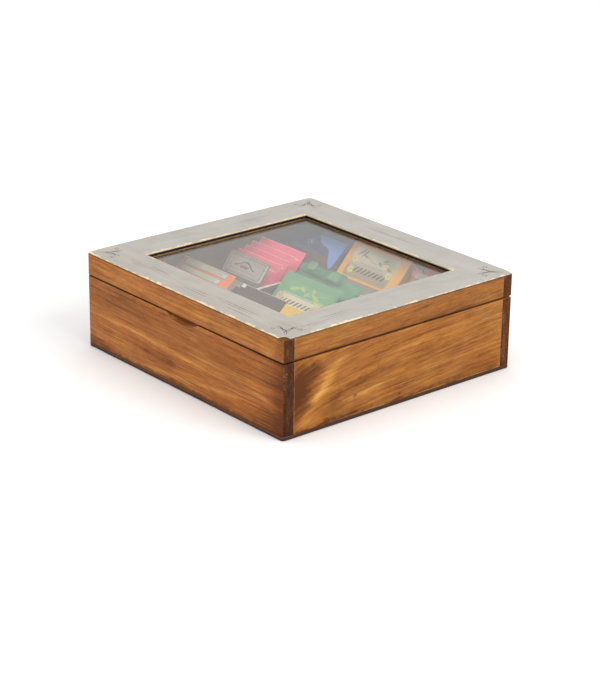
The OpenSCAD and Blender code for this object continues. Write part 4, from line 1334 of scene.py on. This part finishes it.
flap("white_slip", 1, 1, [0, 6, 50.8, 90, 60, 60], -29.6, -25.6, 27.0, 0.0, 0.0, 0.5, white_paper, 41, taper=0.6)
salmon_paper = paper("paper_salmon", (255, 132, 88), (255, 150, 104))
red_paper = paper("paper_red", (236, 84, 46), (250, 108, 60))
flap("salmon_fold", 2, 2, [-2.5, 16, 61, 44, 63, 66], -34, -24.5, -3.4, 3.6, 0.4, 0.8, salmon_paper, 43)
flap("label_fold", 2, 2, [-2.5, 16, 61, 44, 63, 66], -28.5, -15, -0.6, 5.0, 0.9, 0.6, white_paper, 45)
flap("red_fold", 2, 2, [1, 26, 64.5, 44, 66, 66], -31.5, -16, -3.0, 3.4, 0.4, 0.8, red_paper, 47)

# ------------------------------------------------------------------ studio


def plane(name, size, z, mat):
    me = bpy.data.meshes.new(name)
    s = size / 2
    me.from_pydata([(-s, -s, z), (s, -s, z), (s, s, z), (-s, s, z)], [], [(0, 1, 2, 3)])
    ob = bpy.data.objects.new(name, me)
    scene.collection.objects.link(ob)
    me.materials.append(mat)
    return ob


fm = Mat("studio_floor")
fx, fy, fz = fm.xyz(1.0)
fn = fm.noise(fm.vec(fx, fy, fz), 3.0, 3, 0.5)
fm.set("Base Color", fm.ramp(fn, [(0.3, (0.90, 0.90, 0.90, 1)), (0.7, (0.93, 0.93, 0.93, 1))]))
fm.set("Roughness", 0.9)
fm.set("Specular IOR Level", 0.1)
plane("studio_floor", 60.0, -0.0003, fm.mat)

world = bpy.data.worlds.new("studio_world")
scene.world = world
world.use_nodes = True
wn = world.node_tree
wn.nodes.clear()
wo = wn.nodes.new("ShaderNodeOutputWorld")
bg = wn.nodes.new("ShaderNodeBackground")
bg.inputs["Color"].default_value = (1.0, 1.0, 1.0, 1)
bg.inputs["Strength"].default_value = 0.93
wn.links.new(bg.outputs[0], wo.inputs[0])


def softbox(name, at, to, size, power, colour=(1, 1, 1)):
    d = bpy.data.lights.new(name, "AREA")
    d.shape = "RECTANGLE"
    d.size, d.size_y = size
    d.energy = power
    d.color = colour
    ob = bpy.data.objects.new(name, d)
    scene.collection.objects.link(ob)
    ob.location = at
    ob.rotation_euler = (Vector(to) - Vector(at)).to_track_quat("-Z", "Y").to_euler()
    return ob


softbox("key_light", (1.9, 0.35, 1.5), (0, 0, 0.04), (1.4, 1.4), 26, (1.0, 0.98, 0.95))
softbox("top_light", (-0.2, -0.5, 2.2), (0, 0, 0), (1.6, 1.6), 8)

cam_data = bpy.data.cameras.new("camera")
cam_data.sensor_fit = "AUTO"
cam_data.sensor_width = 36.0
cam_data.lens = 2123.29 / 690 * 36.0
cam_data.clip_start, cam_data.clip_end = 0.05, 100
cam = bpy.data.objects.new("camera", cam_data)
scene.collection.objects.link(cam)
R0 = Vector((0.6438576142436874, 0.7650386760735362, 0.012774846068687229))
R1 = Vector((0.2888875733438452, -0.22760018115219832, -0.9299151184419959))
R2 = Vector((-0.7085134737942054, 0.6024234238898235, -0.3675522762831573))
cam.matrix_world = Matrix((
    (R0.x, -R1.x, -R2.x, 1.1792394627363545),
    (R0.y, -R1.y, -R2.y, -0.9996294306165857),
    (R0.z, -R1.z, -R2.z, 0.6200816327929278),
    (0, 0, 0, 1)))
scene.camera = cam
scene.view_settings.view_transform = "Standard"
scene.view_settings.look = "None"
scene.view_settings.exposure = 0.0
scene.view_settings.gamma = 1.0
